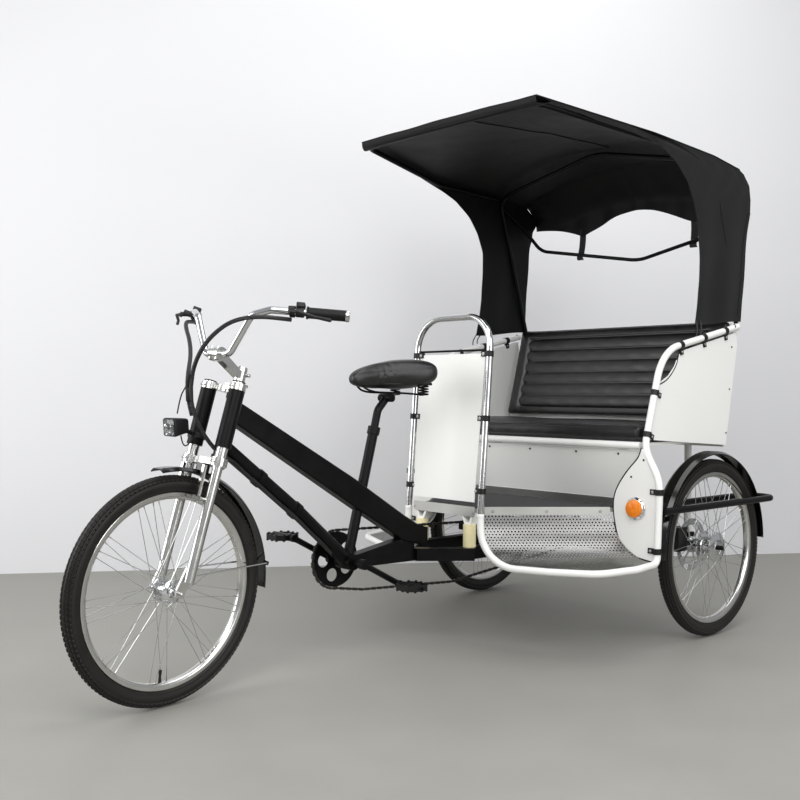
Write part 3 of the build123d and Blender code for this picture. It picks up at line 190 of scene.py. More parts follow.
@dataclass(frozen=True)
class Surface:
    """A fresh material with its principled shader, ready for a finish to build on."""

    name: str
    colour: str
    metallic: float = 0
    roughness: float = 0.5

    def start(self) -> tuple[Material, NodeTree, Node]:
        """Make the material.

        Returns:
            The material, its node tree and its principled shader.
        """
        material = bpy.data.materials.new(self.name)
        material.use_nodes = True
        tree = material.node_tree
        shader = tree.nodes["Principled BSDF"]
        shader.inputs["Base Color"].default_value = linear(self.colour)
        shader.inputs["Metallic"].default_value = self.metallic
        shader.inputs["Roughness"].default_value = self.roughness
        material.diffuse_color = linear(self.colour)
        return material, tree, shader


# ---------------------------------------------------------------- finishes
class Lay(Enum):
    """Which way the lines of a brushed or drawn metal run: the small scale is along the lines."""

    X = (0.02, 1, 1)
    Y = (1, 0.02, 1)
    Z = (1, 1, 0.02)
    AROUND = (1, 1, 1)


def per_metre(size: float) -> float:
    """The scale of a pattern whose features are size millimetres wide."""
    return 1000 / size


@dataclass(frozen=True)
class Finish:
    """A plain finish: colour, soft changes of sheen and shade, and a fine grain.

    Sizes are in millimetres.
    """

    name: str
    colour: str
    metallic: float = 0
    roughness: float = 0.5
    coat: float = 0
    mottle_size: float = 60
    mottle: float = 0.05
    shade: float = 0.08
    grain_size: float = 0.9
    grain_depth: float = 0.02
    specular: float = 0.5

    def material(self) -> Material:
        """The finish as a material, made once."""
        name = f"rickshaw_{self.name}"
        made = bpy.data.materials.get(name)
        if made:
            return made
        surface = Surface(name, self.colour, self.metallic, self.roughness)
        material, tree, shader = surface.start()
        shader.inputs["Coat Weight"].default_value = self.coat
        shader.inputs["Coat Roughness"].default_value = 0.08
        shader.inputs["Specular IOR Level"].default_value = self.specular
        place = add_node(tree, "TexCoord").outputs["Object"]
        self.dress(tree, shader, place)
        return material

    def dress(self, tree: NodeTree, shader: Node, place: NodeSocket) -> None:
        """Add the pattern nodes.

        Args:
            tree: the material's tree.
            shader: its principled shader.
            place: the object coordinates.
        """
        self.add_mottle(tree, shader, place)
        height = self.grain_noise(tree, place, self.grain_size)
        self.add_bump(tree, shader, height, self.grain_depth)

    def add_mottle(self, tree: NodeTree, shader: Node,
                   place: NodeSocket) -> None:
        """Soft changes of roughness and shade, as handling and dust leave them."""
        noise = add_node(tree, "TexNoise", {"Vector": place},
                         {"Scale": per_metre(self.mottle_size), "Detail": 5, "Roughness": 0.6})
        rough = add_node(tree, "MapRange", {"Value": noise.outputs["Fac"]},
                         {"From Min": 0.3, "From Max": 0.7,
                          "To Min": max(0, self.roughness - self.mottle),
                          "To Max": min(1, self.roughness + self.mottle)})
        tree.links.new(rough.outputs["Result"], shader.inputs["Roughness"])
        dark = [c * (1 - self.shade) for c in linear(self.colour)[:3]]
        light = [min(1, c * (1 + self.shade) + 0.002) for c in linear(self.colour)[:3]]
        ramp = add_node(tree, "ValToRGB", {"Fac": noise.outputs["Fac"]})
        for stop, place_on, shade in zip(ramp.color_ramp.elements, (0.3, 0.7), (dark, light)):
            stop.position = place_on
            stop.color = (*shade, 1)
        tree.links.new(ramp.outputs["Color"], shader.inputs["Base Color"])

    def grain_noise(self, tree: NodeTree, place: NodeSocket,
                    size: float) -> NodeSocket:
        """A fine noise of a given feature size."""
        noise = add_node(tree, "TexNoise", {"Vector": place},
                         {"Scale": per_metre(size), "Detail": 3})
        return noise.outputs["Fac"]

    def add_bump(self, tree: NodeTree, shader: Node, height: NodeSocket,
                 depth: float) -> None:
        """Bump of a given depth in millimetres."""
        bump = add_node(tree, "Bump", {"Height": height},
                        {"Strength": 1, "Distance": mm(depth)})
        tree.links.new(bump.outputs["Normal"], shader.inputs["Normal"])


@dataclass(frozen=True)
class BrushedMetal(Finish):
    """Bare metal with fine lines drawn one way."""

    metallic: float = 1
    lay: Lay = Lay.X
    line_size: float = 1.2
    line_depth: float = 0.012

    def dress(self, tree: NodeTree, shader: Node, place: NodeSocket) -> None:
        """Drawn-out noise for the lines, over the soft changes of sheen."""
        self.add_mottle(tree, shader, place)
        stretched = add_node(tree, "Mapping", {"Vector": place}, {"Scale": self.lay.value})
        noise = add_node(tree, "TexNoise", {"Vector": stretched.outputs["Vector"]},
                         {"Scale": per_metre(self.line_size), "Detail": 4})
        self.add_bump(tree, shader, noise.outputs["Fac"], self.line_depth)


@dataclass(frozen=True)
class Vinyl(Finish):
    """Coated upholstery: small pebbles with soft creases between them."""

    pebble: float = 1.6
    pebble_depth: float = 0.10

    def dress(self, tree: NodeTree, shader: Node, place: NodeSocket) -> None:
        """Cells for the grain, with broad soft wrinkles under them."""
        self.add_mottle(tree, shader, place)
        cells = add_node(tree, "TexVoronoi", {"Vector": place}, {"Scale": per_metre(self.pebble)},
                         feature="SMOOTH_F1")
        folds = add_node(tree, "TexNoise", {"Vector": place},
                         {"Scale": per_metre(45), "Detail": 3})
        total = add_node(tree, "Math", {0: folds.outputs["Fac"], 2: cells.outputs["Distance"]},
                         {1: 8}, operation="MULTIPLY_ADD")
        self.add_bump(tree, shader, total.outputs["Value"], self.pebble_depth)


@dataclass(frozen=True)
class Woven(Finish):
    """Plain-weave cloth that reads its thread directions from the piece's UV map, in metres."""

    thread: float = 1.6         # drawn coarser than the real 0.5 mm so that it shows
    weave_depth: float = 0.10
    sheen: float = 0.25

    def dress(self, tree: NodeTree, shader: Node, place: NodeSocket) -> None:
        """Two crossed waves as warp and weft, with uneven threads and soft dust."""
        self.add_mottle(tree, shader, place)
        shader.inputs["Sheen Weight"].default_value = self.sheen
        shader.inputs["Sheen Roughness"].default_value = 0.45
        chart = add_node(tree, "UVMap").outputs["UV"]
        wobble = add_node(tree, "TexNoise", {"Vector": chart}, {"Scale": per_metre(25)})
        values = {"Scale": per_metre(self.thread) / (2 * pi) * 2, "Distortion": 0.6, "Detail": 1}
        warp, weft = [add_node(tree, "TexWave", {"Vector": chart}, values, bands_direction=way).outputs["Fac"]
                      for way in ("X", "Y")]
        cross = add_node(tree, "Math", {0: warp, 1: weft}, operation="MAXIMUM")
        uneven = add_node(tree, "Math", {0: wobble.outputs["Fac"], 1: cross.outputs["Value"]},
                          operation="ADD")
        self.add_bump(tree, shader, uneven.outputs["Value"], self.weave_depth)


@dataclass(frozen=True)
class Ribbed(Finish):
    """Corrugated tubing on a run that goes mostly up and down."""

    rib: float = 4.2
    rib_depth: float = 0.9

    def dress(self, tree: NodeTree, shader: Node, place: NodeSocket) -> None:
        """Mottle, and rings across the run."""
        self.add_mottle(tree, shader, place)
        scale = tau / 20 * per_metre(self.rib)
        rings = add_node(tree, "TexWave", {"Vector": place}, {"Scale": scale}, bands_direction="Z")
        self.add_bump(tree, shader, rings.outputs["Fac"], self.rib_depth)


@dataclass(frozen=True)
class Lens(Finish):
    """Clear or tinted moulded plastic that light passes."""

    transmission: float = 0.6
    prism: float = 3.2          # the pitch of the moulded prisms
    prism_depth: float = 0.25

    def dress(self, tree: NodeTree, shader: Node, place: NodeSocket) -> None:
        """Square prisms moulded in the face."""
        shader.inputs["Transmission Weight"].default_value = self.transmission
        shader.inputs["IOR"].default_value = 1.49
        cells = add_node(tree, "TexVoronoi", {"Vector": place}, {"Scale": per_metre(self.prism)},
                         distance="CHEBYCHEV")
        self.add_bump(tree, shader, cells.outputs["Distance"], self.prism_depth)


# Powder coat on welded steel tube: even, half gloss, with a faint orange peel.
FRAME_PAINT = Finish("black_powder_coat", "060607", roughness=0.36, grain_size=2.2, grain_depth=0.03,
                     mottle=0.05, shade=0.2, specular=0.14)
# Sprayed white enamel on tube and sheet: bright, glossy, faintly uneven.
WHITE_ENAMEL = Finish("white_enamel", "e9e9e6", roughness=0.3, coat=0.3, mottle_size=300, mottle=0.02,
                      shade=0.008, grain_size=3, grain_depth=0.004)
# Polished stainless tube: mirror bright with faint lines along the tube.
STAINLESS = BrushedMetal("polished_stainless", "d2d3d2", roughness=0.13, lay=Lay.Z, line_depth=0.006,
                         shade=0.04)
# Chrome plate: the bar, hubs and spokes.
CHROME = Finish("chrome_plate", "d9dadb", metallic=1, roughness=0.09, grain_depth=0.002, shade=0.03)
# Cast alloy, polished: fork, crowns and stem.
POLISHED_ALLOY = Finish("polished_cast_alloy", "cfcfcc", metallic=1, roughness=0.2, grain_size=6,
                        grain_depth=0.02, shade=0.05)
# Extruded and polished rim.
RIM_ALLOY = BrushedMetal("rim_alloy", "cdcdca", roughness=0.2, lay=Lay.AROUND, line_depth=0.004, shade=0.05)
# Rolled aluminium sheet with a brushed face.
SHEET_ALUMINIUM = BrushedMetal("brushed_aluminium_sheet", "dcdcd8", roughness=0.34, lay=Lay.X,
                               mottle_size=200, mottle=0.03, line_depth=0.003, shade=0.03)
# The same sheet, pierced, with painted shade: its colour is darker than the sheet's own to tone down the lamp
# light that it reflects.
STEP_ALUMINIUM_PAINTED_SHADE = BrushedMetal("pierced_aluminium_sheet_painted_shade", "9c9c9a", roughness=0.32, lay=Lay.X,
                              mottle_size=200, mottle=0.04, line_depth=0.003, shade=0.05)
# Vulcanised tyre rubber: matt, dusty, faintly rough.
TYRE_RUBBER = Finish("tyre_rubber", "14110f", roughness=0.5, grain_size=1.2, grain_depth=0.04, shade=0.25,
                     specular=0.35)
# Polypropylene and nylon mouldings.
BLACK_PLASTIC = Finish("moulded_nylon", "0a0a0a", roughness=0.46, grain_size=0.8, grain_depth=0.03,
                       shade=0.15, specular=0.35)
# Glossy thermoformed fenders.
GLOSS_PLASTIC = Finish("gloss_fender_plastic", "030303", roughness=0.14, coat=0, grain_size=30,
                       grain_depth=0.03, mottle=0.03)
# Soft rubber of grips, cables and bushes.
SOFT_RUBBER = Finish("soft_rubber", "090909", roughness=0.6, grain_size=0.7, grain_depth=0.05, shade=0.15,
                     specular=0.35)
# Corrugated conduit round the cables.
RIBBED_RUBBER = Ribbed("corrugated_conduit", "080808", roughness=0.42, shade=0.15, specular=0.5)
# Coated upholstery cloth of seat, back and saddle.
SEAT_VINYL = Vinyl("black_vinyl", "090909", roughness=0.42, coat=0.06, shade=0.2, specular=0.6)
# Coated polyester hood cloth.
HOOD_CLOTH = Woven("hood_polyester", "060607", roughness=0.55, shade=0.2, specular=0.22, sheen=0.06)
# Woven polyester webbing and cord.
WEBBING = Woven("polyester_webbing", "101012", roughness=0.7, thread=1.2, shade=0.2)
# Cast polyurethane blocks, pale yellow and a little translucent.
URETHANE = Finish("cast_urethane", "e6dcae", roughness=0.4, grain_size=4, grain_depth=0.03)
# Ribbed rubber mat, dark grey with dust in it.
MAT_RUBBER = Finish("mat_rubber", "2c2c2e", roughness=0.75, grain_size=1.5, grain_depth=0.12, shade=0.25)
# Oiled roller chain and chain wheels.
CHAIN_STEEL = Finish("oiled_chain_steel", "4b4845", metallic=1, roughness=0.42, grain_size=2,
                     grain_depth=0.02, shade=0.3)
# Stainless wire.
SPOKE_STEEL = Finish("stainless_wire", "c3c4c4", metallic=1, roughness=0.22, grain_depth=0.002, shade=0.05)
# Nickel-plated brass.
NICKEL = Finish("nickel_plate", "c9c5bc", metallic=1, roughness=0.25, grain_depth=0.002, shade=0.05)
# Zinc-plated nuts, bolts and brackets.
ZINC = Finish("zinc_plate", "b4b5b3", metallic=1, roughness=0.32, grain_size=1.5, grain_depth=0.01,
              shade=0.1)
# Painted plywood under the mat.
BOARD = Finish("painted_plywood", "8a8984", roughness=0.7, grain_size=3, grain_depth=0.05, shade=0.1)
# Amber and clear lamp plastics.
AMBER = Lens("amber_lens", "ff9016", roughness=0.12, transmission=0.25)
CLEAR = Lens("clear_lens", "f4f6f6", roughness=0.05, transmission=0.95, prism=9, prism_depth=0.1)
# Pale, faintly flecked floor covering, and the plain backdrop.
STUDIO_FLOOR = Finish("studio_floor", "8e8d87", roughness=0.55, mottle_size=400, shade=0.05,
                      grain_size=3, grain_depth=0.05)
STUDIO_WALL = Finish("studio_wall", "d9d9db", roughness=0.9, mottle_size=900, shade=0.01)


# The nodes that wear each finish; where a finer piece replaces a node, this is what lies under it.
NODE_FINISHES: dict[Finish, str] = {
    TYRE_RUBBER: "tyre_front tyre_rear_left tyre_rear_right",
    RIM_ALLOY: "rim_front rim_rear_left rim_rear_right",
    CHROME: "hub_front hub_rear_left hub_rear_right handlebar",
    POLISHED_ALLOY: "fork stem brake_arms",
    FRAME_PAINT: "fork_sleeves main_beam head_tube down_tube seat_tube seat_post crankset rear_axle "
                 "chassis_spine chassis_rails crossbar hood_frame wheel_guards",
    SOFT_RUBBER: "grips cable_upper cable_right cable_lower",
    BLACK_PLASTIC: "bar_controls headlight pedal_left pedal_right calipers",
    GLOSS_PLASTIC: "fender_front fenders_rear",
    SEAT_VINYL: "saddle seat_cushion backrest",
    CHAIN_STEEL: "chain",
    URETHANE: "rubber_mounts",
    WHITE_ENAMEL: "mount_brackets hoop_panel cabin_tubes wings side_walls seat_front seat_frame rear_panel",
    STAINLESS: "hoop",
    BOARD: "floor_board",
    MAT_RUBBER: "floor_mat",
    SHEET_ALUMINIUM: "floor_edges steps",
    AMBER: "wing_lamps",
    HOOD_CLOTH: "hood_cloth",
}


def dress_frame(frame: dict) -> None:
    """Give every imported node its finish.
    """
    finishes = {name: finish for finish, names in NODE_FINISHES.items() for name in names.split()}
    for name, node in frame["nodes"].items():
        node.data.materials.clear()
        node.data.materials.append(finishes[name].material())


# ---------------------------------------------------------------- studio
@dataclass
class Studio:
    """Camera, lamps, floor and backdrop."""

    eye: Triple = (3456, 2591, 902)
    heading: float = -132.7     # degrees from +X, counted to the left
    dip: float = 0.344          # degrees below level
    roll: float = 0.42
    lens: float = 45.51
    wall_foot: tuple[Pair, Pair] = ((1521, -2404), (-2208, -127))
    world_strength: float = 0.44
    surround: float = 9       # metres from the middle of the floor and of the wall to their edges

    def forward(self) -> Vector:
        """The way the camera looks."""
        heading, dip = radians(self.heading), radians(self.dip)
        return Vector((cos(dip) * cos(heading), cos(dip) * sin(heading), -sin(dip)))

    def build(self) -> None:
        """Make the camera, the light and the plain surroundings."""
        self.add_camera()
        self.add_world()
        self.add_lamps()
        self.add_floor()

    def add_camera(self) -> None:
        """The camera at the view that the rickshaw is shown from."""
        data = bpy.data.cameras.new("camera")
        data.lens = self.lens
        data.sensor_width = 36
        data.clip_start = 0.05
        camera = linked("camera", data)
        turn = aimed(self.forward(), "-Z") @ rotation(self.roll, "Z")
        camera.matrix_world = Matrix.Translation(point(*self.eye)) @ turn
        bpy.context.scene.camera = camera

    def add_world(self) -> None:
        """A soft, even sky."""
        world = bpy.data.worlds.new("studio")
        bpy.context.scene.world = world
        world.use_nodes = True
        tree = world.node_tree
        tree.nodes["Background"].inputs["Color"].default_value = linear("f3f4f7")
        tree.nodes["Background"].inputs["Strength"].default_value = self.world_strength

    def add_lamps(self) -> None:
        """Four large soft boxes: a key from the left front, a side light, a fill and a top light."""
        boxes = [
            # name, place, aimed at, size in metres, watts
            ("key", (3600, 2400, 3300), (700, 0, 700), 2.6, 112),
            ("side", (900, 4300, 1900), (500, 0, 700), 2.8, 72),
            ("fill", (4300, -1500, 1800), (900, 0, 700), 2.4, 72),
            ("top", (300, 900, 4200), (700, 0, 500), 3.2, 80),
        ]
        for name, place, aim, size, watts in boxes:
            data = bpy.data.lights.new(name, "AREA")
            data.shape = "SQUARE"
            data.size = size
            data.energy = watts
            turn = aimed(point(*aim) - point(*place), "-Z")
            linked(name, data).matrix_world = Matrix.Translation(point(*place)) @ turn

    def add_floor(self) -> None:
        """A plain floor and a pale wall behind."""
        ground = new_piece("floor", square_mesh(self.surround), STUDIO_FLOOR)
        ground.data.transform(offset(0, 0, -0.5))
        near, far = [point(*place, 0) for place in self.wall_foot]
        side = (far - near).normalized()
        basis = Matrix((side, Vector((0, 0, 1)), side.cross(Vector((0, 0, 1))))).transposed().to_4x4()
        wall = self.one_sided(STUDIO_WALL.material())
        backdrop = new_piece("backdrop", square_mesh(self.surround), wall)
        backdrop.data.transform(Matrix.Translation((near + far) / 2) @ basis)

    @staticmethod
    def one_sided(material: Material) -> Material:
        """Let a camera that stands behind the wall see through its back.

        Args:
            material: the wall's finish, changed in place.

        Returns:
            The same material.
        """
        tree = material.node_tree
        back = add_node(tree, "NewGeometry").outputs["Backfacing"]
        clear = add_node(tree, "BsdfTransparent").outputs["BSDF"]
        front = tree.nodes["Principled BSDF"].outputs["BSDF"]
        mix = add_node(tree, "MixShader", {0: back, 1: front, 2: clear})
        tree.links.new(mix.outputs["Shader"], tree.nodes["Material Output"].inputs["Surface"])
        return material


# ---------------------------------------------------------------- mesh helpers
def linked(name: str, data: ID) -> Object:
    """A new object in the scene that shows some data."""
    made = bpy.data.objects.new(name, data)
    bpy.context.scene.collection.objects.link(made)
    return made


def square_mesh(half: float) -> BMesh:
    """A flat square about the origin, half metres each way."""
    shape = bmesh.new()
    bmesh.ops.create_grid(shape, x_segments=1, y_segments=1, size=half)
    return shape


def new_piece(name: str, shape: BMesh, finish: Finish | Material,
              smooth: float | None = 35) -> Object:
    """Turn a bmesh into an object at the origin.

    Args:
        name: the object's name.
        shape: its mesh, in the frame's metres; freed here.
        finish: its finish, or a ready material.
        smooth: the crease angle in degrees, or None for flat faces.

    Returns:
        The object, linked to the scene.
    """
    mesh = bpy.data.meshes.new(name)
    shape.to_mesh(mesh)
    shape.free()
    piece = linked(name, mesh)
    mesh.materials.append(finish.material() if isinstance(finish, Finish) else finish)
    if smooth is not None:
        mesh.shade_smooth()
        mesh.set_sharp_from_angle(angle=radians(smooth))
    return piece


def soften(shape: BMesh, width: float, segments: int = 2, angle: float = 30) -> None:
    """Round every edge sharper than an angle.

    Args:
        shape: the mesh, changed in place.
        width: how far the rounding reaches from the edge, in millimetres.
        segments: facets in the rounding.
        angle: edges that turn less than this many degrees stay.
    """
    limit = radians(angle)
    sharp = [e for e in shape.edges if len(e.link_faces) == 2 and e.calc_face_angle(0) > limit]
    bmesh.ops.bevel(shape, geom=sharp, offset=mm(width), segments=segments, affect="EDGES", profile=0.5,
                    material=-1, clamp_overlap=True)


def turned(profile: list[Pair], steps: int = 64) -> BMesh:
    """A closed ring about the Y axis.

    Args:
        profile: rows (radius, y) in millimetres round the cross-section.
        steps: facets round the axis.

    Returns:
        The mesh, centred on the origin.
    """
    shape = bmesh.new()
    corners = [shape.verts.new((mm(radius), mm(y), 0)) for radius, y in profile]
    edges = [shape.edges.new(ends) for ends in zip(corners, corners[1:] + corners[:1])]
    bmesh.ops.spin(shape, geom=corners + edges, cent=(0, 0, 0), axis=(0, 1, 0), angle=2 * pi,
                   steps=steps, use_merge=True)
    bmesh.ops.recalc_face_normals(shape, faces=shape.faces)
    return shape


def mirrored(profile: list[Pair]) -> list[Pair]:
    """Rows (radius, y) for y above 0, followed by their mirror images."""
    return profile + [(radius, -y) for radius, y in reversed(profile)]


def between(start: Vector, end: Vector) -> Matrix:
    """The frame half way between two points, its Z axis towards the second."""
    return Matrix.Translation((start + end) / 2) @ aimed(end - start)


def add_rod(shape: BMesh, start: Vector, end: Vector, radius: float, segments: int = 16,
            end_radius: float | None = None) -> list[BMVert]:
    """Add a straight round rod.

    Args:
        shape: the mesh it joins.
        start: one end, in the mesh's metres.
        end: the other end.
        radius: millimetres.
        segments: facets round it.
        end_radius: the radius at the end, if it tapers.

    Returns:
        The new vertices.
    """
    made = bmesh.ops.create_cone(shape, cap_ends=True, segments=segments, radius1=mm(radius),
                                 radius2=mm(radius if end_radius is None else end_radius),
                                 depth=(end - start).length, matrix=between(start, end))
    return made["verts"]


def add_block(shape: BMesh, size: Triple, place: Matrix) -> list:
    """Add a box of a size in millimetres, centred on a place."""
    stretch = Matrix.Diagonal((*[mm(side) for side in size], 1))
    return bmesh.ops.create_cube(shape, size=1, matrix=place @ stretch)["verts"]


def add_bolt(shape: BMesh, seat: Vector, out: Vector, across: float = 8, head: float = 4,
             domed: bool = False) -> None:
    """Add a washer and a bolt's head on a surface.

    Args:
        shape: the mesh it joins.
        seat: where its axis meets the surface.
        out: the surface's outward direction.
        across: the head's size across its flats, in millimetres.
        head: its height.
        domed: a round head in place of a hexagon.
    """
    out = out.normalized()
    add_rod(shape, seat - out * mm(0.3), seat + out * mm(1), across * 0.85, 20)
    top = seat + out * mm(1 + head)
    if domed:
        made = bmesh.ops.create_uvsphere(shape, u_segments=14, v_segments=8, radius=mm(across / 2))
        squash = Matrix.Diagonal((1, 1, 2 * head / across, 1))
        place = Matrix.Translation(seat + out * mm(1)) @ aimed(out) @ squash
        bmesh.ops.transform(shape, verts=made["verts"], matrix=place)
        return
    add_rod(shape, seat + out * mm(1), top, across * 0.577, 6)
    add_rod(shape, top - out * mm(0.2), top + out * mm(0.5), across * 0.43, 12)


def of_kind(geometry: list, kind: type) -> list:
    """The vertices or the faces among what an operator returned."""
    return [element for element in geometry if isinstance(element, kind)]


def whole(shape: BMesh) -> list:
    """Every vertex, edge and face of a mesh."""
    return shape.verts[:] + shape.edges[:] + shape.faces[:]


def mirrored_copy(shape: BMesh) -> None:
    """Add the right-hand image of everything in a left-hand mesh."""
    made = bmesh.ops.duplicate(shape, geom=whole(shape))["geom"]
    bmesh.ops.scale(shape, verts=of_kind(made, BMVert), vec=(1, -1, 1))
    bmesh.ops.reverse_faces(shape, faces=of_kind(made, BMFace))


def merge(target: BMesh, source: BMesh) -> None:
    """Add one mesh to another and free the first."""
    holder = bpy.data.meshes.new("merge")
    source.to_mesh(holder)
    source.free()
    target.from_mesh(holder)
    bpy.data.meshes.remove(holder)


def push_out(shape: BMesh, face: BMFace, push: Vector) -> None:
    """Draw a face out into a closed solid.

    Args:
        shape: the mesh, changed in place.
        face: its only face.
        push: how far, in metres.
    """
    made = bmesh.ops.extrude_face_region(shape, geom=[face])["geom"]
    bmesh.ops.translate(shape, verts=of_kind(made, BMVert), vec=push)
    bmesh.ops.recalc_face_normals(shape, faces=shape.faces)


def plate(outline: list[Vector], thickness: float, rounding: float = 0) -> BMesh:
    """A flat plate from its outline.

    Args:
        outline: corners in order, in metres.
        thickness: millimetres, along the outline's normal.
        rounding: millimetres of edge rounding, or 0.

    Returns:
        The mesh.
    """
    shape = bmesh.new()
    face = shape.faces.new([shape.verts.new(corner) for corner in outline])
    face.normal_update()
    push_out(shape, face, face.normal * mm(thickness))
    if rounding:
        soften(shape, rounding)
    return shape


def round_curve(name: str, radius: float, finish: Finish, facets: int = 3) -> Object:
    """A curve object with a round section, still without a run.

    Args:
        name: the piece's name.
        radius: millimetres.
        finish: its finish.
        facets: facets in each quarter of the section.

    Returns:
        The curve object.
    """
    data = bpy.data.curves.new(name, "CURVE")
    data.dimensions = "3D"
    data.bevel_depth = mm(radius)
    data.bevel_resolution = facets
    data.use_fill_caps = True
    data.materials.append(finish.material())
    return linked(name, data)


def curve_piece(name: str, points: list[Vector], radius: float, finish: Finish, order: int = 3,
                resolution: int = 8) -> Object:
    """A round cable, cord or wire on one smooth NURBS curve.

    Args:
        name: the piece's name.
        points: its control points, in metres.
        radius: millimetres.
        finish: its finish.
        order: the curve's order.
        resolution: steps between two control points.

    Returns:
        The curve object.
    """
    piece = round_curve(name, radius, finish)
    spline = piece.data.splines.new("NURBS")
    spline.points.add(len(points) - 1)
    for target, place in zip(spline.points, points):
        target.co = (*place, 1)
    spline.order_u = order
    spline.use_endpoint_u = True
    spline.resolution_u = resolution
    return piece


def settle(piece: Object) -> None:
    """Apply every modifier of a piece to its mesh."""
    depsgraph = bpy.context.evaluated_depsgraph_get()
    baked = bpy.data.meshes.new_from_object(piece.evaluated_get(depsgraph))
    baked.name = piece.data.name
    piece.modifiers.clear()
    piece.data = baked


def smooth(piece: Object) -> None:
    """Smooth a piece with one level of subdivision surface."""
    modifier = piece.modifiers.new("smooth", "SUBSURF")
    modifier.levels = modifier.render_levels = 1
    settle(piece)


def gauge(piece: Object, thickness: float, side: float, crease: float) -> Object:
    """Give a sheet its thickness and shade it.

    Args:
        piece: the sheet, changed in place.
        thickness: millimetres.
        side: -1 for all of it inwards, 0 for half of it each way.
        crease: edges that turn more than this many degrees stay sharp.

    Returns:
        The same piece.
    """
    solid = piece.modifiers.new("gauge", "SOLIDIFY")
    solid.thickness = mm(thickness)
    solid.offset = side
    settle(piece)
    piece.data.shade_smooth()
    piece.data.set_sharp_from_angle(angle=radians(crease))
    return piece


def cloth_grid(columns: int, rows: int, place: Callable[[float, float], tuple[Vector, Pair]],
               outwards: Triple | None = None) -> BMesh:
    """A grid laid out by a rule, with its place on the flat cloth as its UV map.

    Args:
        columns: cells across.
        rows: cells along.
        place: gives, for (across, along) from -1 to 1, a vertex and its spot on the flat cloth.
        outwards: the way that its faces look on the whole, or None to leave them.

    Returns:
        The mesh, in metres.
    """
    shape = bmesh.new()
    bmesh.ops.create_grid(shape, x_segments=columns, y_segments=rows, size=1, calc_uvs=False)
    chart = shape.loops.layers.uv.new("thread")
    spots = {}
    for vertex in shape.verts:
        spot, flat = place(vertex.co.x, vertex.co.y)
        spots[vertex.index] = (mm(flat[0]), mm(flat[1]))
        vertex.co = point(*spot)
    for face in shape.faces:
        for loop in face.loops:
            loop[chart].uv = spots[loop.vert.index]
    bmesh.ops.recalc_face_normals(shape, faces=shape.faces)
    if outwards and sum(face.normal.dot(outwards) for face in shape.faces) < 0:
        bmesh.ops.reverse_faces(shape, faces=shape.faces)
    return shape


def inflate(piece: Object, voxel: float, cap: float, pressure: float = 4,
            frames: int = 20) -> None:
    """Fill a pad: remesh it, blow it up as cloth, and limit how far any point moves.

    Args:
        piece: a closed mesh a little smaller than the pad; changed in place.
        voxel: size of the cloth's cells in millimetres.
        cap: the furthest that a point may move, in millimetres.
        pressure: the filling's pressure.
        frames: steps of the simulation.
    """
    remesh = piece.modifiers.new("cells", "REMESH")
    remesh.mode = "VOXEL"
    remesh.voxel_size = mm(voxel)
    settle(piece)
    start = [v.co.copy() for v in piece.data.vertices]
    cloth = piece.modifiers.new("cloth", "CLOTH")
    filling = cloth.settings
    filling.use_pressure = True
    filling.uniform_pressure_force = pressure
    filling.quality = 5
    filling.tension_stiffness = 12
    filling.bending_stiffness = 0.6
    filling.effector_weights.gravity = 0
    cloth.collision_settings.use_collision = False
    cloth.point_cache.frame_start = 1
    cloth.point_cache.frame_end = frames
    for frame in range(1, frames + 1):
        bpy.context.scene.frame_set(frame)
    settle(piece)
    bpy.context.scene.frame_set(1)
    for vertex, rest in zip(piece.data.vertices, start):
        move = vertex.co - rest
        if move.length > mm(cap):
            vertex.co = rest + move.normalized() * mm(cap)
    smooth(piece)
    piece.data.shade_smooth()


def ride(body: str, *pieces: Object) -> None:
    """Let pieces move with a body."""
    for piece in pieces:
        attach(piece, body)


# ---------------------------------------------------------------- wheels
class WheelKind(Enum):
    """The two hubs in use."""

    FRONT = "front"
    REAR = "rear"


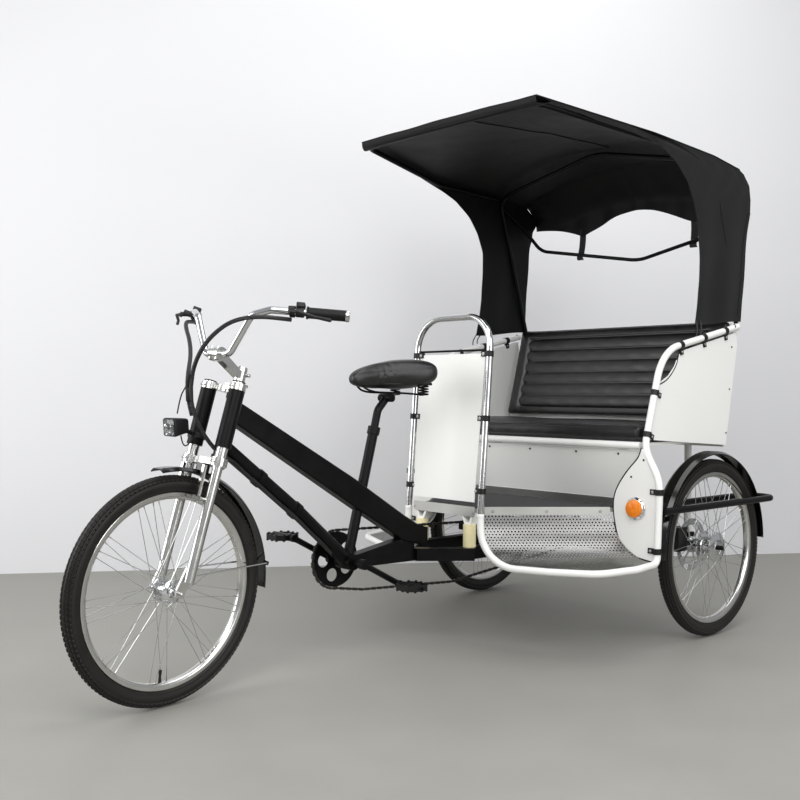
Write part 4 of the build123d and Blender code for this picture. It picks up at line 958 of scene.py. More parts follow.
@dataclass
class Wheel:
    """One spoked 26 inch wheel: tyre with tread, alloy rim, spokes, nipples, valve and hub."""

    name: str
    body: str
    kind: WheelKind
    place: Matrix
    side: int = 1               # 1 for a left wheel or the front one, -1 for the right
    tyre_radius: float = 333
    tyre_width: float = 54
    knob_height: float = 4
    knob_gap: float = 2.6       # half the groove between two knobs
    facets: int = 132
    rim_radius: float = 283.5
    rim_width: float = 29
    rim_depth: float = 20
    spokes_a_side: int = 18
    spoke_radius: float = 1.1
    spoke_cross: float = 48
    spoke_lay: float = 3.7

    @property
    def flange_radius(self) -> float:
        """Where the spokes leave the hub."""
        return 30 if self.kind is WheelKind.FRONT else 52

    @property
    def flange_y(self) -> float:
        """How far the flanges stand from the wheel's middle."""
        return 26 if self.kind is WheelKind.FRONT else 27

    def build(self) -> None:
        """Make every piece of the wheel and let it ride on its body."""
        pieces = {
            "tyre": (self.tyre(), TYRE_RUBBER),
            "rim": (self.rim(), RIM_ALLOY),
            "hub": (self.hub(), CHROME),
            "spokes": (self.spokes(), SPOKE_STEEL),
            "nipples": (self.nipples(), NICKEL),
            "valve": (self.valve(), BLACK_PLASTIC),
        }
        for part, (shape, finish) in pieces.items():
            if self.side < 0:
                bmesh.ops.scale(shape, verts=shape.verts, vec=(1, -1, 1))
                bmesh.ops.reverse_faces(shape, faces=shape.faces)
            shape.transform(self.place)
            piece = new_piece(f"{self.name}_{part}", shape, finish)
            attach(piece, self.body)
            if part in ("tyre", "rim", "hub"):
                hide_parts(f"{part}_{self.name}")
        LOG.info("wheel %s built", self.name)

    def tyre(self) -> BMesh:
        """Round casing with three columns of knobs either side of a centre row."""
        middle = self.tyre_radius - self.tyre_width / 2
        base = self.tyre_width / 2 - self.knob_height
        angles = [1.5, 7, 24, 29, 45, 50, 68, 71, 80, 92, 108, 124]
        profile = [(middle + base * cos(radians(a)), base * sin(radians(a))) for a in angles]
        profile += [(289, 19), (286, 13.5), (283.8, 12.2)]
        shape = turned(mirrored(profile), self.facets)
        knobs = [f for f in shape.faces if self.is_knob(f, middle)]
        bmesh.ops.inset_individual(shape, faces=knobs, thickness=mm(self.knob_gap),
                                   depth=mm(self.knob_height), use_even_offset=True)
        for vertex in shape.verts:
            across = abs(vertex.co.y) / mm(self.tyre_width / 2)
            swing = radians(2.2) * across
            vertex.co = Matrix.Rotation(swing, 3, "Y") @ vertex.co
        return shape

    def is_knob(self, face: BMFace, middle: float) -> bool:
        """Whether a face of the casing carries a knob.

        Args:
            face: the face.
            middle: the radius of the casing's own centre line, in millimetres.
        """
        centre = face.calc_center_median()
        out = hypot(centre.x, centre.z) - mm(middle)
        angle = degrees(atan2(abs(centre.y), out))
        width = face.calc_area() / max(e.calc_length() for e in face.edges)
        return out > 0 and angle < 69 and width > mm(3.5)

    def rim(self) -> BMesh:
        """Box rim with a rounded inner wall and rolled edges."""
        half, outer, inner = self.rim_width / 2, self.rim_radius, self.rim_radius - self.rim_depth
        profile = mirrored([
            # radius, y
            (outer - 1, half - 3), (outer, half - 2.2), (outer, half - 0.6), (outer - 0.8, half),
            (outer - 10, half), (outer - 12, half - 0.8), (inner + 4, half - 3.5),
            (inner + 1.2, half - 6.5), (inner, half - 10),
        ])
        return turned(profile, 144)

    def spoke_line(self, index: int, face: int) -> tuple[Vector, Vector]:
        """The two ends of a spoke.

        Args:
            index: which spoke, counted round its flange.
            face: 1 or -1, the flange.
        """
        pitch = 360 / self.spokes_a_side
        lean = 1 if index % 2 else -1
        start = radians(pitch * index + (pitch / 2 if face > 0 else 0))
        end = start + lean * radians(self.spoke_cross)
        lay = face * (self.flange_y + lean * self.spoke_lay)
        reach = self.rim_radius - self.rim_depth + 1.5
        inner = Vector((self.flange_radius * cos(start), lay, self.flange_radius * sin(start)))
        outer = Vector((reach * cos(end), face * 4, reach * sin(end)))
        return inner * 0.001, outer * 0.001

    def spoke_lines(self) -> list[tuple[Vector, Vector]]:
        """Every spoke's two ends."""
        return [self.spoke_line(index, face) for face in (1, -1) for index in range(self.spokes_a_side)]

    def spokes(self) -> BMesh:
        """Straight wires with their heads at the flanges."""
        shape = bmesh.new()
        for inner, outer in self.spoke_lines():
            add_rod(shape, inner, outer, self.spoke_radius, 6)
            head = Matrix.Translation(inner)
            bmesh.ops.create_icosphere(shape, subdivisions=1, radius=mm(2.2), matrix=head)
        return shape

    def nipples(self) -> BMesh:
        """Threaded nipples where the spokes enter the rim."""
        shape = bmesh.new()
        for inner, outer in self.spoke_lines():
            back = (inner - outer).normalized()
            add_rod(shape, outer, outer + back * mm(12), 2.3, 6, 1.8)
        return shape

    def valve(self) -> BMesh:
        """Rubber-covered valve with its cap."""
        shape = bmesh.new()
        turn = radians(-86 if self.kind is WheelKind.FRONT else 40)
        out = Vector((cos(turn), 0, sin(turn)))
        inner = self.rim_radius - self.rim_depth
        add_rod(shape, out * mm(inner - 24), out * mm(inner + 1), 3.6, 12, 4.4)
        add_rod(shape, out * mm(inner - 36), out * mm(inner - 24), 4.4, 12, 4.8)
        return shape

    def hub(self) -> BMesh:
        """Polished shell with rounded flanges; the rear ones carry a pierced brake disc."""
        front = self.kind is WheelKind.FRONT
        lip, y = self.flange_radius + 5, self.flange_y
        barrel, half, bore = (18, 44, 5.1) if front else (27, 34, 8.6)
        profile = [
            # radius, y
            (bore, -half), (barrel - 6, -half), (barrel - 4, -half + 1.5), (barrel - 3, -y - 8),
            (barrel, -y - 4), (lip - 1, -y - 1.5), (lip, -y - 0.8), (lip, -y + 0.8), (lip - 1, -y + 1.5),
            (barrel + 2, -y + 2.2), (barrel - 1, -y + 7), (barrel - 2, 0), (barrel - 1, y - 7),
            (barrel + 2, y - 2.2), (lip - 1, y - 1.5), (lip, y - 0.8), (lip, y + 0.8), (lip - 1, y + 1.5),
            (barrel, y + 4), (barrel - 3, y + 8), (barrel - 4, half - 1.5), (barrel - 6, half), (bore, half),
        ]
        shape = turned(profile, 72)
        if not front:
            self.add_disc(shape)
        return shape

    def add_disc(self, shape: BMesh) -> None:
        """Brake disc 80 mm inboard of the wheel: a drilled ring on six arms and its carrier.

        Args:
            shape: the hub's mesh, which the disc joins.
        """
        y, outer, inner = -80, 100, 76
        disc = turned([(inner, y - 1), (outer, y - 1), (outer, y + 1), (inner, y + 1)], 96)
        holes = [f for f in disc.faces if abs(f.normal.y) > 0.9 and self.is_drilled(f)]
        bmesh.ops.inset_individual(disc, faces=holes, thickness=mm(1.2), depth=0)
        bmesh.ops.inset_individual(disc, faces=holes, thickness=mm(0.1), depth=mm(-0.85))
        carrier = turned([(8.6, y - 5), (30, y - 5), (30, y + 5), (24, -34), (8.6, -34)], 48)
        merge(shape, disc)
        merge(shape, carrier)
        for index in range(6):
            turn = rotation(60 * index, "Y")
            add_block(shape, (54, 2, 9), turn @ offset(53, y, 9) @ rotation(-14, "Y"))
            add_bolt(shape, turn @ metres(24, y - 5, 0), turn @ Vector((0, -1, 0)), 5, 2, domed=True)

    @staticmethod
    def is_drilled(face: BMFace) -> bool:
        """Whether a facet of the disc's ring has a vent: two of every four."""
        centre = face.calc_center_median()
        return int(round(degrees(atan2(centre.z, centre.x)) / 3.75 - 0.5)) % 3 != 0


def front_wheel_place() -> Matrix:
    """Where the front wheel's own upright frame stands at rest."""
    return STEERING.matrix() @ offset(67.48, 0, -610.05) @ rotation(STEERING.rake, "Y")


def build_wheels() -> None:
    """All three wheels."""
    Wheel("front", "front_wheel", WheelKind.FRONT, front_wheel_place()).build()
    for side, name in ((1, "left"), (-1, "right")):
        place = Matrix.Translation(point(0, side * HALF_TRACK, Wheel.tyre_radius))
        Wheel(f"rear_{name}", f"rear_wheel_{name}", WheelKind.REAR, place, side).build()


# ---------------------------------------------------------------- hood
def along(rows: Rows, key: float) -> tuple[float, ...]:
    """Read a table between its rows.

    Args:
        rows: rows in rising order of their first column.
        key: the value of the first column to read at.

    Returns:
        The other columns there, on a smooth curve between the rows.
    """
    if key <= rows[0][0]:
        return rows[0][1:]
    for low, high in zip(rows, rows[1:]):
        if key <= high[0]:
            share = (key - low[0]) / (high[0] - low[0])
            return tuple(a + (b - a) * share for a, b in zip(low[1:], high[1:]))
    return rows[-1][1:]


def blend_in(value: float, low: float, high: float) -> float:
    """0 below low, 1 above high, and a smooth step between."""
    share = min(1, max(0, (value - low) / (high - low)))
    return share * share * (3 - 2 * share)


@dataclass
class Hood:
    """Folding cloth hood: one draped sheet over the tubes, a rear valance, hems, ties and straps."""

    ribs: Rows = (
        # x, half width, z at the side, z at the crown
        (-352, 553, 1640, 1745),
        (-330, 554, 1700, 1790),
        (-240, 554.5, 1798, 1898),
        (-50, 554.5, 1821, 1944),
        (350, 554.5, 1837, 1939),
        (872, 440, 1889, 1892),
    )
    front_edge: Rows = (
        # z, x of the side flap's front edge
        (1170, 80), (1250, 62), (1330, 50), (1440, 44), (1550, 50), (1630, 84),
        (1700, 135), (1760, 220), (1800, 320), (1822, 430), (1840, 600), (1889, 872),
    )
    rear_edge: Rows = (
        # z, x of the side flap's rear edge
        (1198, -262), (1400, -291), (1560, -318), (1640, -337), (1690, -334),
        (1745, -322), (1785, -276), (1798, -240), (1889, -240),
    )
    far_pull: Rows = (
        # z, how far the right flap's rear edge is drawn forward
        (1198, 14), (1400, 30), (1600, 52), (1680, 34), (1715, 0),
    )
    brim: float = 872         # x of the roof's front and rear edges
    roof_back: float = -240
    cloth: float = 1.4
    hem: float = 26
    front_band: float = 74

    def build(self) -> None:
        """Make the hood's pieces and let them ride on the chassis."""
        roof = self.main_sheet()
        back = self.rear_valance()
        trims = [*self.hems(), *self.bindings(), self.straps(), self.ties(), self.centre_strap()]
        ride("chassis", roof, back, *trims)
        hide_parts("hood_cloth")
        LOG.info("hood built: %d pieces", 2 + len(trims))

    def rib(self, x: float) -> Triple:
        """Half width, side height and crown height of the roof at x."""
        return along(self.ribs, x)

    def roof_point(self, x: float, share: float, lift: float = 0) -> Vector:
        """A point of the roof.

        Args:
            x: millimetres ahead of the rear axle.
            share: -1 at the right edge to 1 at the left one.
            lift: millimetres above the cloth.
        """
        half, side_z, crown_z = self.rib(x)
        rise = crown_z - side_z
        y = half * share
        z = side_z + rise * (1 - abs(share) ** 2.1)
        if x > -50 and abs(share) < 1:
            z -= 9 * (sin(pi * blend_in(x, -50, self.brim)) * cos(0.5 * pi * share) ** 0.5)
        z += 1.6 * sin(x / 41 + 3 * share) * cos(y / 57) * (1 - abs(share) ** 8)
        return Vector((x, y, z + lift))

    def side_point(self, share: float, z: float, side: int, lift: float = 0) -> Vector:
        """A point of a side flap.

        Args:
            share: 0 at the rear edge to 1 at the front one.
            z: its height.
            side: 1 for the left flap, -1 for the right.
            lift: millimetres outside the cloth.
        """
        front, rear = along(self.front_edge, z)[0], along(self.rear_edge, z)[0]
        if side < 0:
            rear += along(self.far_pull, z)[0]
        x = rear + (front - rear) * share
        hang = blend_in(1800 - z, 0, 500)
        ripple = 3.2 * hang * sin(x / 33 + z / 210) + 1.6 * sin(z / 37 + x / 61) * hang
        taut = 1.8 * sin((x + 0.9 * (z - 1800)) / 19) * blend_in(z, 1600, 1760)
        taut *= 1 - blend_in(z, 1770, 1815)
        lean = -6 * sin(pi * min(1, hang))
        half = self.rib(x)[0]
        return Vector((x, side * (half + lean + ripple * 0.7 + taut * 0.6 + lift), z))

    def main_sheet(self) -> Object:
        """Roof and both side flaps in one sheet, its grid following the cut edges."""
        flap_rows, roof_rows = 44, 56
        rows = flap_rows * 2 + roof_rows

        def place(across: float, along_it: float) -> tuple[Vector, Pair]:
            """A vertex of the grid, by its row of cloth."""
            row = int(round((along_it + 1) / 2 * rows))
            return self.sheet_place((across + 1) / 2, row, flap_rows, roof_rows)

        shape = cloth_grid(96, rows, place, (0, 0, 1))
        return gauge(new_piece("hood_roof", shape, HOOD_CLOTH, None), self.cloth, -1, 50)

    def sheet_place(self, u: float, row: int, flap_rows: int, roof_rows: int) -> tuple[Vector, Pair]:
        """Where a vertex of the main sheet goes, and its spot on the flat cloth.

        Args:
            u: 0 at the rear edge to 1 at the front one.
            row: its row, from the right flap's foot over the roof to the left flap's.
            flap_rows: rows in a flap.
            roof_rows: rows in the roof.
        """
        x = self.roof_back + (self.brim - self.roof_back) * u
        if flap_rows <= row <= flap_rows + roof_rows:
            share = (row - flap_rows) / roof_rows * 2 - 1
            return self.roof_point(x, share), (x, share * 570)
        side = -1 if row < flap_rows else 1
        drop = 1 - (row if side < 0 else flap_rows * 2 + roof_rows - row) / flap_rows
        edge_z = self.rib(x)[1]
        z = edge_z + (self.flap_foot(u) - edge_z) * drop ** 1.35
        place = self.side_point(u, z, side)
        if drop < 0.16:
            place = self.roof_point(x, side).lerp(place, blend_in(drop, 0, 0.16))
        return place, (place.x, side * (570 + 640 * drop))

    @staticmethod
    def flap_foot(share: float) -> float:
        """Height of a flap's foot from its rear edge, 0, to its front one, 1."""
        return 1198 - 28 * blend_in(share, 0, 1)

    def rear_valance(self) -> Object:
        """Short curtain behind, scalloped between the straps that hold it down."""

        def place(across: float, up: float) -> tuple[Vector, Pair]:
            """A vertex of the curtain, by its drop."""
            drop = (1 - up) / 2
            return self.valance_point(across, drop), (across * 555, -300 * drop)

        shape = cloth_grid(110, 24, place, (-1, 0, 0))
        return gauge(new_piece("hood_valance", shape, HOOD_CLOTH, None), self.cloth, -1, 50)

    @staticmethod
    def hem_drop(share: float) -> float:
        """Height of the valance's scalloped lower edge across the hood, -1 to 1."""
        strap = 290 / 554
        place = abs(share)
        if place < strap:
            return 1640 + 86 * cos(0.5 * pi * place / strap) ** 1.2
        out = (place - strap) / (1 - strap)
        return 1640 + 50 * out + 14 * sin(pi * out)

    def valance_point(self, share: float, drop: float, lift: float = 0) -> Vector:
        """A point of the valance: share across, drop 0 at the roof to 1 at the hem."""
        if drop < 0.001:
            return self.roof_point(-228, share, -1.6)
        top = self.roof_point(-240, share)
        low_z = self.hem_drop(share)
        z = top.z + (low_z - top.z) * drop
        middle = blend_in(1 - abs(share), 0, 0.25)
        edge_x = along(self.rear_edge, min(z, 1798))[0]
        centre_x = -240 - 112 * blend_in(top.z - z, -20, 150)
        x = edge_x + (centre_x - edge_x) * middle
        fold = 5 * sin(abs(share) * 23) * drop * (1 - abs(share) ** 6)
        half = 554 - 2 * drop
        return Vector((x - fold - lift, share * half, z))

    def ribbon(self, name: str, path: list[tuple[Vector, Vector]], finish: Finish,
               thickness: float = 1.6) -> Object:
        """A flat band between pairs of points along its length.

        Args:
            name: the piece's name.
            path: its two edges, pair by pair, in the vehicle's millimetres.
            finish: its finish.
            thickness: millimetres.
        """
        shape = bmesh.new()
        chart = shape.loops.layers.uv.new("thread")
        rows = [(shape.verts.new(point(*a)), shape.verts.new(point(*b))) for a, b in path]
        run = 0
        for (a, b), (c, d) in zip(rows, rows[1:]):
            face = shape.faces.new((a, c, d, b))
            step = (c.co - a.co).length
            width = (b.co - a.co).length
            flat = (run, 0), (run + step, 0), (run + step, width), (run, width)
            for loop, spot in zip(face.loops, flat):
                loop[chart].uv = spot
            run += step
        return gauge(new_piece(name, shape, finish, None), thickness, 0, 40)

    def hems(self) -> list[Object]:
        """Folded hems down the flaps' edges, and the wide band along the brim."""
        pieces = []
        for side, tag in ((1, "left"), (-1, "right")):
            bands = {"front": [], "rear": [], "foot": []}
            for share in [step / 40 for step in range(41)]:
                z = 1172 + (1815 - 1172) * share
                inset = self.hem / (along(self.front_edge, z)[0] - along(self.rear_edge, z)[0])
                low, foot = 1200 + (1640 - 1200) * share, self.flap_foot(share)
                bands["front"].append([self.side_point(u, z, side, 0.5) for u in (1, 1 - inset)])
                bands["rear"].append([self.side_point(u, low, side, 0.5) for u in (inset, 0)])
                bands["foot"].append([self.side_point(share, z, side, 0.5) for z in (foot, foot + self.hem)])
            for edge, path in bands.items():
                pieces.append(self.ribbon(f"hood_hem_{edge}_{tag}", path, HOOD_CLOTH))
        return [*pieces, self.brim_pocket()]

    def brim_pocket(self) -> Object:
        """The wide hem along the brim, sewn round the tube."""
        section = [
            # back from the edge, below the cloth
            (0, 1), (0.5, 12), (4, 22), (12, 28.5), (24, 27), (44, 16), (62, 6),
            (self.front_band, 2), (self.front_band + 4, 0.5),
        ]
        rows = len(section) - 1

        def place(across: float, along_it: float) -> tuple[Vector, Pair]:
            """A vertex of the band, by its step round the section."""
            share = across * 0.998
            back, drop = section[int(round((along_it + 1) / 2 * rows))]
            return self.roof_point(self.brim - back, share, -drop), (share * 440, back + drop)

        shape = cloth_grid(60, rows, place)
        return gauge(new_piece("hood_brim_band", shape, HOOD_CLOTH, None), self.cloth, -1, 50)

    def bindings(self) -> list[Object]:
        """Piping along the brim, the roof's side seams and the edges of the flaps."""
        shares, depth = [step / 40 for step in range(41)], self.brim - self.roof_back
        runs = {
            "brim": [self.roof_point(self.brim, -1 + 2 * share) for share in shares],
            "valance": [self.valance_point(-1 + step / 40, 1) for step in range(81)],
        }
        for side, tag in ((1, "left"), (-1, "right")):
            runs[f"side_{tag}"] = [self.roof_point(self.roof_back + depth * u, side, 0.5) for u in shares]
            runs[f"flap_{tag}"] = [self.side_point(1, 1170 + 655 * u, side) for u in shares]
        return [curve_piece(f"hood_piping_{name}", [point(*place) for place in run], 2.2, HOOD_CLOTH)
                for name, run in runs.items()]

    def straps(self) -> Object:
        """Two webbing straps that hold the valance to the rear tube, doubled back on themselves."""
        pieces = []
        for side in (1, -1):
            share = side * 290 / 554
            high = self.valance_point(share, 0.86)
            low = Vector((-343, side * 294, 1554))
            path = []
            for step in range(13):
                place = high.lerp(low, step / 12)
                place.x -= 5 * sin(pi * step / 12)
                path.append((place + Vector((0, 17, 0)), place - Vector((0, 17, 0))))
            turn = [tuple(low + Vector((9 * sin(a), edge, 11 * cos(a) - 14)) for edge in (17, -17))
                    for a in [pi * k / 8 for k in range(-1, 9)]]
            pieces.append(self.ribbon("hood_strap", path + turn, WEBBING, 1.6))
        return join("hood_straps", pieces)

    def ties(self) -> Object:
        """Thin cords from the flaps' feet down to the arm rail."""
        pieces = []
        for side in (1, -1):
            for x, drop in ((72, 46), (44, 40), (-205, 12)):
                start = Vector((x, side * 557, 1186))
                low = Vector((x + 16, side * 573, 1186 - drop * 0.9))
                end = Vector((x + 19, side * 569, 1182 - drop * 1.2))
                run = [point(*place) for place in (start, start.lerp(low, 0.5), low, end)]
                pieces.append(curve_piece("tie", run, 2.4, WEBBING))
        return join("hood_ties", pieces)

    def centre_strap(self) -> Object:
        """Sleeve sewn under the roof, from the brim back over the bow."""
        path = []
        for step in range(31):
            x = 850 - 900 * step / 30
            path.append((self.roof_point(x, 0.12, -4), self.roof_point(x, -0.07, -4)))
        return self.ribbon("hood_sleeve", path, HOOD_CLOTH, 2)


def join(name: str, pieces: list[Object]) -> Object:
    """Make several pieces one mesh.

    Args:
        name: the new piece's name.
        pieces: meshes or curves, removed here.

    Returns:
        One mesh object with the first piece's material.
    """
    shape = bmesh.new()
    depsgraph = bpy.context.evaluated_depsgraph_get()
    material = pieces[0].data.materials[0]
    for piece in pieces:
        mesh = bpy.data.meshes.new_from_object(piece.evaluated_get(depsgraph))
        shape.from_mesh(mesh)
        bpy.data.meshes.remove(mesh)
        bpy.data.objects.remove(piece)
    return new_piece(name, shape, material)


# ---------------------------------------------------------------- bench
@dataclass
class Bench:
    """Seat cushion and channelled back in coated cloth."""

    back_foot: Pair = (-88, 806)     # x, z of the back's face
    back_top: Pair = (-198, 1217)
    back_half: float = 544
    side_border: float = 84
    top_border: float = 61
    foot_border: float = 50
    channels: int = 6
    groove_depth: float = 10
    cushion_x: Pair = (-80, 402)
    cushion_half: float = 540
    cushion_z: Pair = (733, 804)

    def build(self) -> None:
        """Make both pads with their seams."""
        cushion, back = self.cushion(), self.back()
        seams = [*self.cushion_seams(), self.back_seam(back)]
        ride("chassis", cushion, back, *seams)
        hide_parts("seat_cushion")
        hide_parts("backrest")
        LOG.info("bench built")

    def cushion(self) -> Object:
        """Boxed pad with a crowned top and a rolled front."""
        (x0, x1), (z0, z1) = self.cushion_x, self.cushion_z
        shape = bmesh.new()
        size = (x1 - x0 - 16, 2 * self.cushion_half - 16, z1 - z0 - 13)
        add_block(shape, size, Matrix.Translation(point((x0 + x1) / 2, 0, (z0 + z1) / 2 - 4)))
        bmesh.ops.subdivide_edges(shape, edges=shape.edges[:], cuts=3, use_grid_fill=True)
        soften(shape, 20, 4)
        piece = new_piece("seat_pad", shape, SEAT_VINYL, None)
        inflate(piece, 9, 11)
        sole = mm(z0 + 0.6)
        for vertex in piece.data.vertices:
            place = vertex.co
            y, x = place.y * 1000, (place.x * 1000) + AXLE_BEHIND
            place.z = max(place.z, sole)
            front = blend_in(x, x1 - 60, x1 - 5)
            low = 1 - blend_in(place.z * 1000, z0 + 14, z0 + 34)
            place.x -= mm(3.5) * low * front * (1 + 0.5 * sin(y / 21) + 0.3 * sin(y / 8.3))
            place.z += mm(1.3) * sin(y / 83 + x / 60) * blend_in(place.z * 1000, z0 + 50, z1)
            place.z = min(place.z, mm(z1 + 6))
        return piece

    def cushion_seams(self) -> list[Object]:
        """Piping round the cushion's top and foot."""
        (x0, x1), (z0, z1) = self.cushion_x, self.cushion_z
        pieces = []
        for name, z, reach in (("seat_piping_top", z1 - 14, 2.5), ("seat_piping_foot", z0 + 16, 1.5)):
            half = self.cushion_half + reach - 1
            front, rear, turn = x1 + reach, x0 - reach, 16
            corners = [(rear + turn, half), (front - turn, half), (front, half), (front, half - turn),
                       (front, -half + turn), (front, -half), (front - turn, -half), (rear + turn, -half)]
            path = [point(x, y, z + 1.2 * sin(y / 70)) for x, y in self.run(corners)]
            pieces.append(curve_piece(name, path, 2.6, SEAT_VINYL))
        return pieces

    @staticmethod
    def run(corners: list[Pair]) -> list[Pair]:
        """Corners with more points on the long straight runs."""
        path = []
        for (x0, y0), (x1, y1) in zip(corners, corners[1:]):
            count = 24 if hypot(x1 - x0, y1 - y0) > 300 else 1
            path += [(x0 + (x1 - x0) * k / count, y0 + (y1 - y0) * k / count) for k in range(count)]
        return [*path, corners[-1]]

    def lean(self) -> Matrix:
        """The back's frame: X across to the left, Y up the lean, Z out of its face, from its foot."""
        (x0, z0), (x1, z1) = self.back_foot, self.back_top
        up = (point(x1, 0, z1) - point(x0, 0, z0)).normalized()
        across = Vector((0, 1, 0))
        basis = Matrix((across, up, across.cross(up))).transposed().to_4x4()
        return Matrix.Translation(point(x0, 0, z0)) @ basis

    @property
    def back_length(self) -> float:
        """The back's height along its lean, in millimetres."""
        (x0, z0), (x1, z1) = self.back_foot, self.back_top
        return hypot(x1 - x0, z1 - z0)

    def back(self) -> Object:
        """Pad with a rolled border round six channels."""
        length, half = self.back_length, self.back_half
        frame = self.lean()
        shape = bmesh.new()
        add_block(shape, (2 * half - 16, length - 14, 38),
                  frame @ offset(0, length / 2, -26))
        bmesh.ops.subdivide_edges(shape, edges=shape.edges[:], cuts=3, use_grid_fill=True)
        soften(shape, 15, 4)
        piece = new_piece("back_pad", shape, SEAT_VINYL, None)
        inflate(piece, 9, 10)
        inverse = frame.inverted()
        for vertex in piece.data.vertices:
            place = inverse @ vertex.co
            x, y, z = place.x * 1000, place.y * 1000, place.z * 1000
            face = blend_in(z, -22, -12)
            if z < -44:
                place.z = mm(-44 + (z + 44) * 0.2)
            place.z += mm(self.relief(x, y) * face)
            place.z = min(place.z, mm(5))
            vertex.co = frame @ place
        return piece

    def relief(self, x: float, y: float) -> float:
        """How far the back's face stands out at a place of its frame, in millimetres."""
        length, half = self.back_length, self.back_half
        low, high = self.foot_border, length - self.top_border
        inner = half - self.side_border
        pitch = (high - low) / self.channels
        row = (y - low) / pitch
        phase = row - floor(row)
        end = abs(x) - (inner - pitch * 0.5)
        nose = sqrt(max(0, 1 - (end / (pitch * 0.5)) ** 2)) if end > 0 else 1
        crown = sin(pi * phase) ** 0.22
        inside = low <= y <= high and abs(x) <= inner
        if inside:
            spread = abs(phase - 0.5) * 2
            shape = max(0, 1 - (spread / max(nose, 0.02)) ** 6) if end > 0 else crown
            wrinkle = 0.5 * sin(x / 17 + 2 * floor(row)) * sin(pi * phase)
            return -self.groove_depth * (1 - min(crown, max(shape, 0))) + wrinkle
        gap = min(abs(abs(x) - inner) if low < y < high else 99, abs(y - high) if abs(x) < inner else 99,
                  hypot(max(0, abs(x) - inner), max(0, y - high)))
        return -self.groove_depth * (1 - blend_in(gap, 0, 9)) + 2 * blend_in(gap, 4, 24)

    def back_seam(self, pad: Object) -> Object:
        """Piping laid on the back pad's outer edge.

        Args:
            pad: the finished pad that the piping is sewn to.
        """
        length, half = self.back_length, self.back_half
        corners = [(-half, 18), (-half, length - 40), (-half + 4, length - 8), (-half + 36, length),
                   (half - 36, length), (half - 4, length - 8), (half, length - 40), (half, 18)]
        frame = self.lean()
        path = []
        for x, y in self.run(corners):
            spot = frame @ metres(x, y, -13)
            found, seat, _, _ = pad.closest_point_on_mesh(spot)
            path.append(seat if found else spot)
        return curve_piece("back_piping", path, 2.8, SEAT_VINYL)


@dataclass
class Saddle:
    """Sprung saddle: padded top, steel rails and springs."""

    stations: Rows = (
        # x, half width, lower edge z, top z
        (1290, 13, 942, 958), (1281, 21, 932, 971), (1255, 26, 924, 986),
        (1215, 29, 923, 997), (1170, 39, 926, 1004), (1120, 64, 924, 1011),
        (1075, 94, 921, 1018), (1035, 115, 923, 1023), (1000, 119, 932, 1021),
        (985, 109, 943, 1011), (977, 88, 956, 997),
    )

    def build(self) -> None:
        """Make the saddle's pieces."""
        top, metal, tray = self.top(), self.springs(), self.tray()
        ride("chassis", top, metal, tray)
        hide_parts("saddle")
        LOG.info("saddle built")

    def top(self) -> Object:
        """Padded cover lofted through the stations."""
        shape = bmesh.new()
        count, rings = 28, []
        for x, half, low, high in self.stations:
            ring = []
            for step in range(count):
                turn = 2 * pi * step / count
                side, up = cos(turn), sin(turn)
                y = half * copysign(abs(side) ** 0.62, side)
                middle = (low + high) / 2
                z = middle + (high - middle) * copysign(abs(up) ** 0.72, up)
                z += -4 * exp(-(y / 13) ** 2) if up > 0 and x < 1180 else 0
                ring.append(shape.verts.new(point(x, y, z)))
            rings.append(ring)
        for a, b in zip(rings, rings[1:]):
            for step in range(count):
                after = (step + 1) % count
                shape.faces.new((a[step], a[after], b[after], b[step]))
        for ring in (rings[0], rings[-1]):
            shape.faces.new(ring)
        bmesh.ops.recalc_face_normals(shape, faces=shape.faces)
        piece = new_piece("saddle_top", shape, SEAT_VINYL, None)
        smooth(piece)
        inflate(piece, 4, 5, frames=12)
        return piece

    def tray(self) -> Object:
        """Moulded base under the cover."""
        shape = bmesh.new()
        corners = [(1262, 16), (1180, 26), (1090, 66), (1040, 92), (1002, 96), (990, 80)]
        outline = [(x, y) for x, y in corners] + [(x, -y) for x, y in reversed(corners)]
        face = shape.faces.new([shape.verts.new(point(x, y, 941)) for x, y in outline])
        push_out(shape, face, metres(0, 0, -9))
        soften(shape, 3)
        return new_piece("saddle_tray", shape, BLACK_PLASTIC)

    def springs(self) -> Object:
        """Two coil springs and the rails."""
        pieces = []
        for side in (1, -1):
            turns, steps = 4, 16
            coil = []
            for k in range(turns * steps + 1):
                angle = 2 * pi * k / steps
                rise = 36 * k / (turns * steps)
                coil.append(point(1022 + 17 * cos(angle), side * 72 + 17 * sin(angle), 898 + rise))
            pieces.append(curve_piece("coil", coil, 2.6, FRAME_PAINT, resolution=2))
            rail = [(1256, 10, 934), (1240, 18, 918), (1200, 22, 907), (1140, 22, 906), (1080, 24, 905),
                    (1040, 48, 902), (1022, 72, 899)]
            run = [point(x, side * y, z) for x, y, z in rail]
            pieces.append(curve_piece("rail", run, 3.6, FRAME_PAINT))
        return join("saddle_springs", pieces)


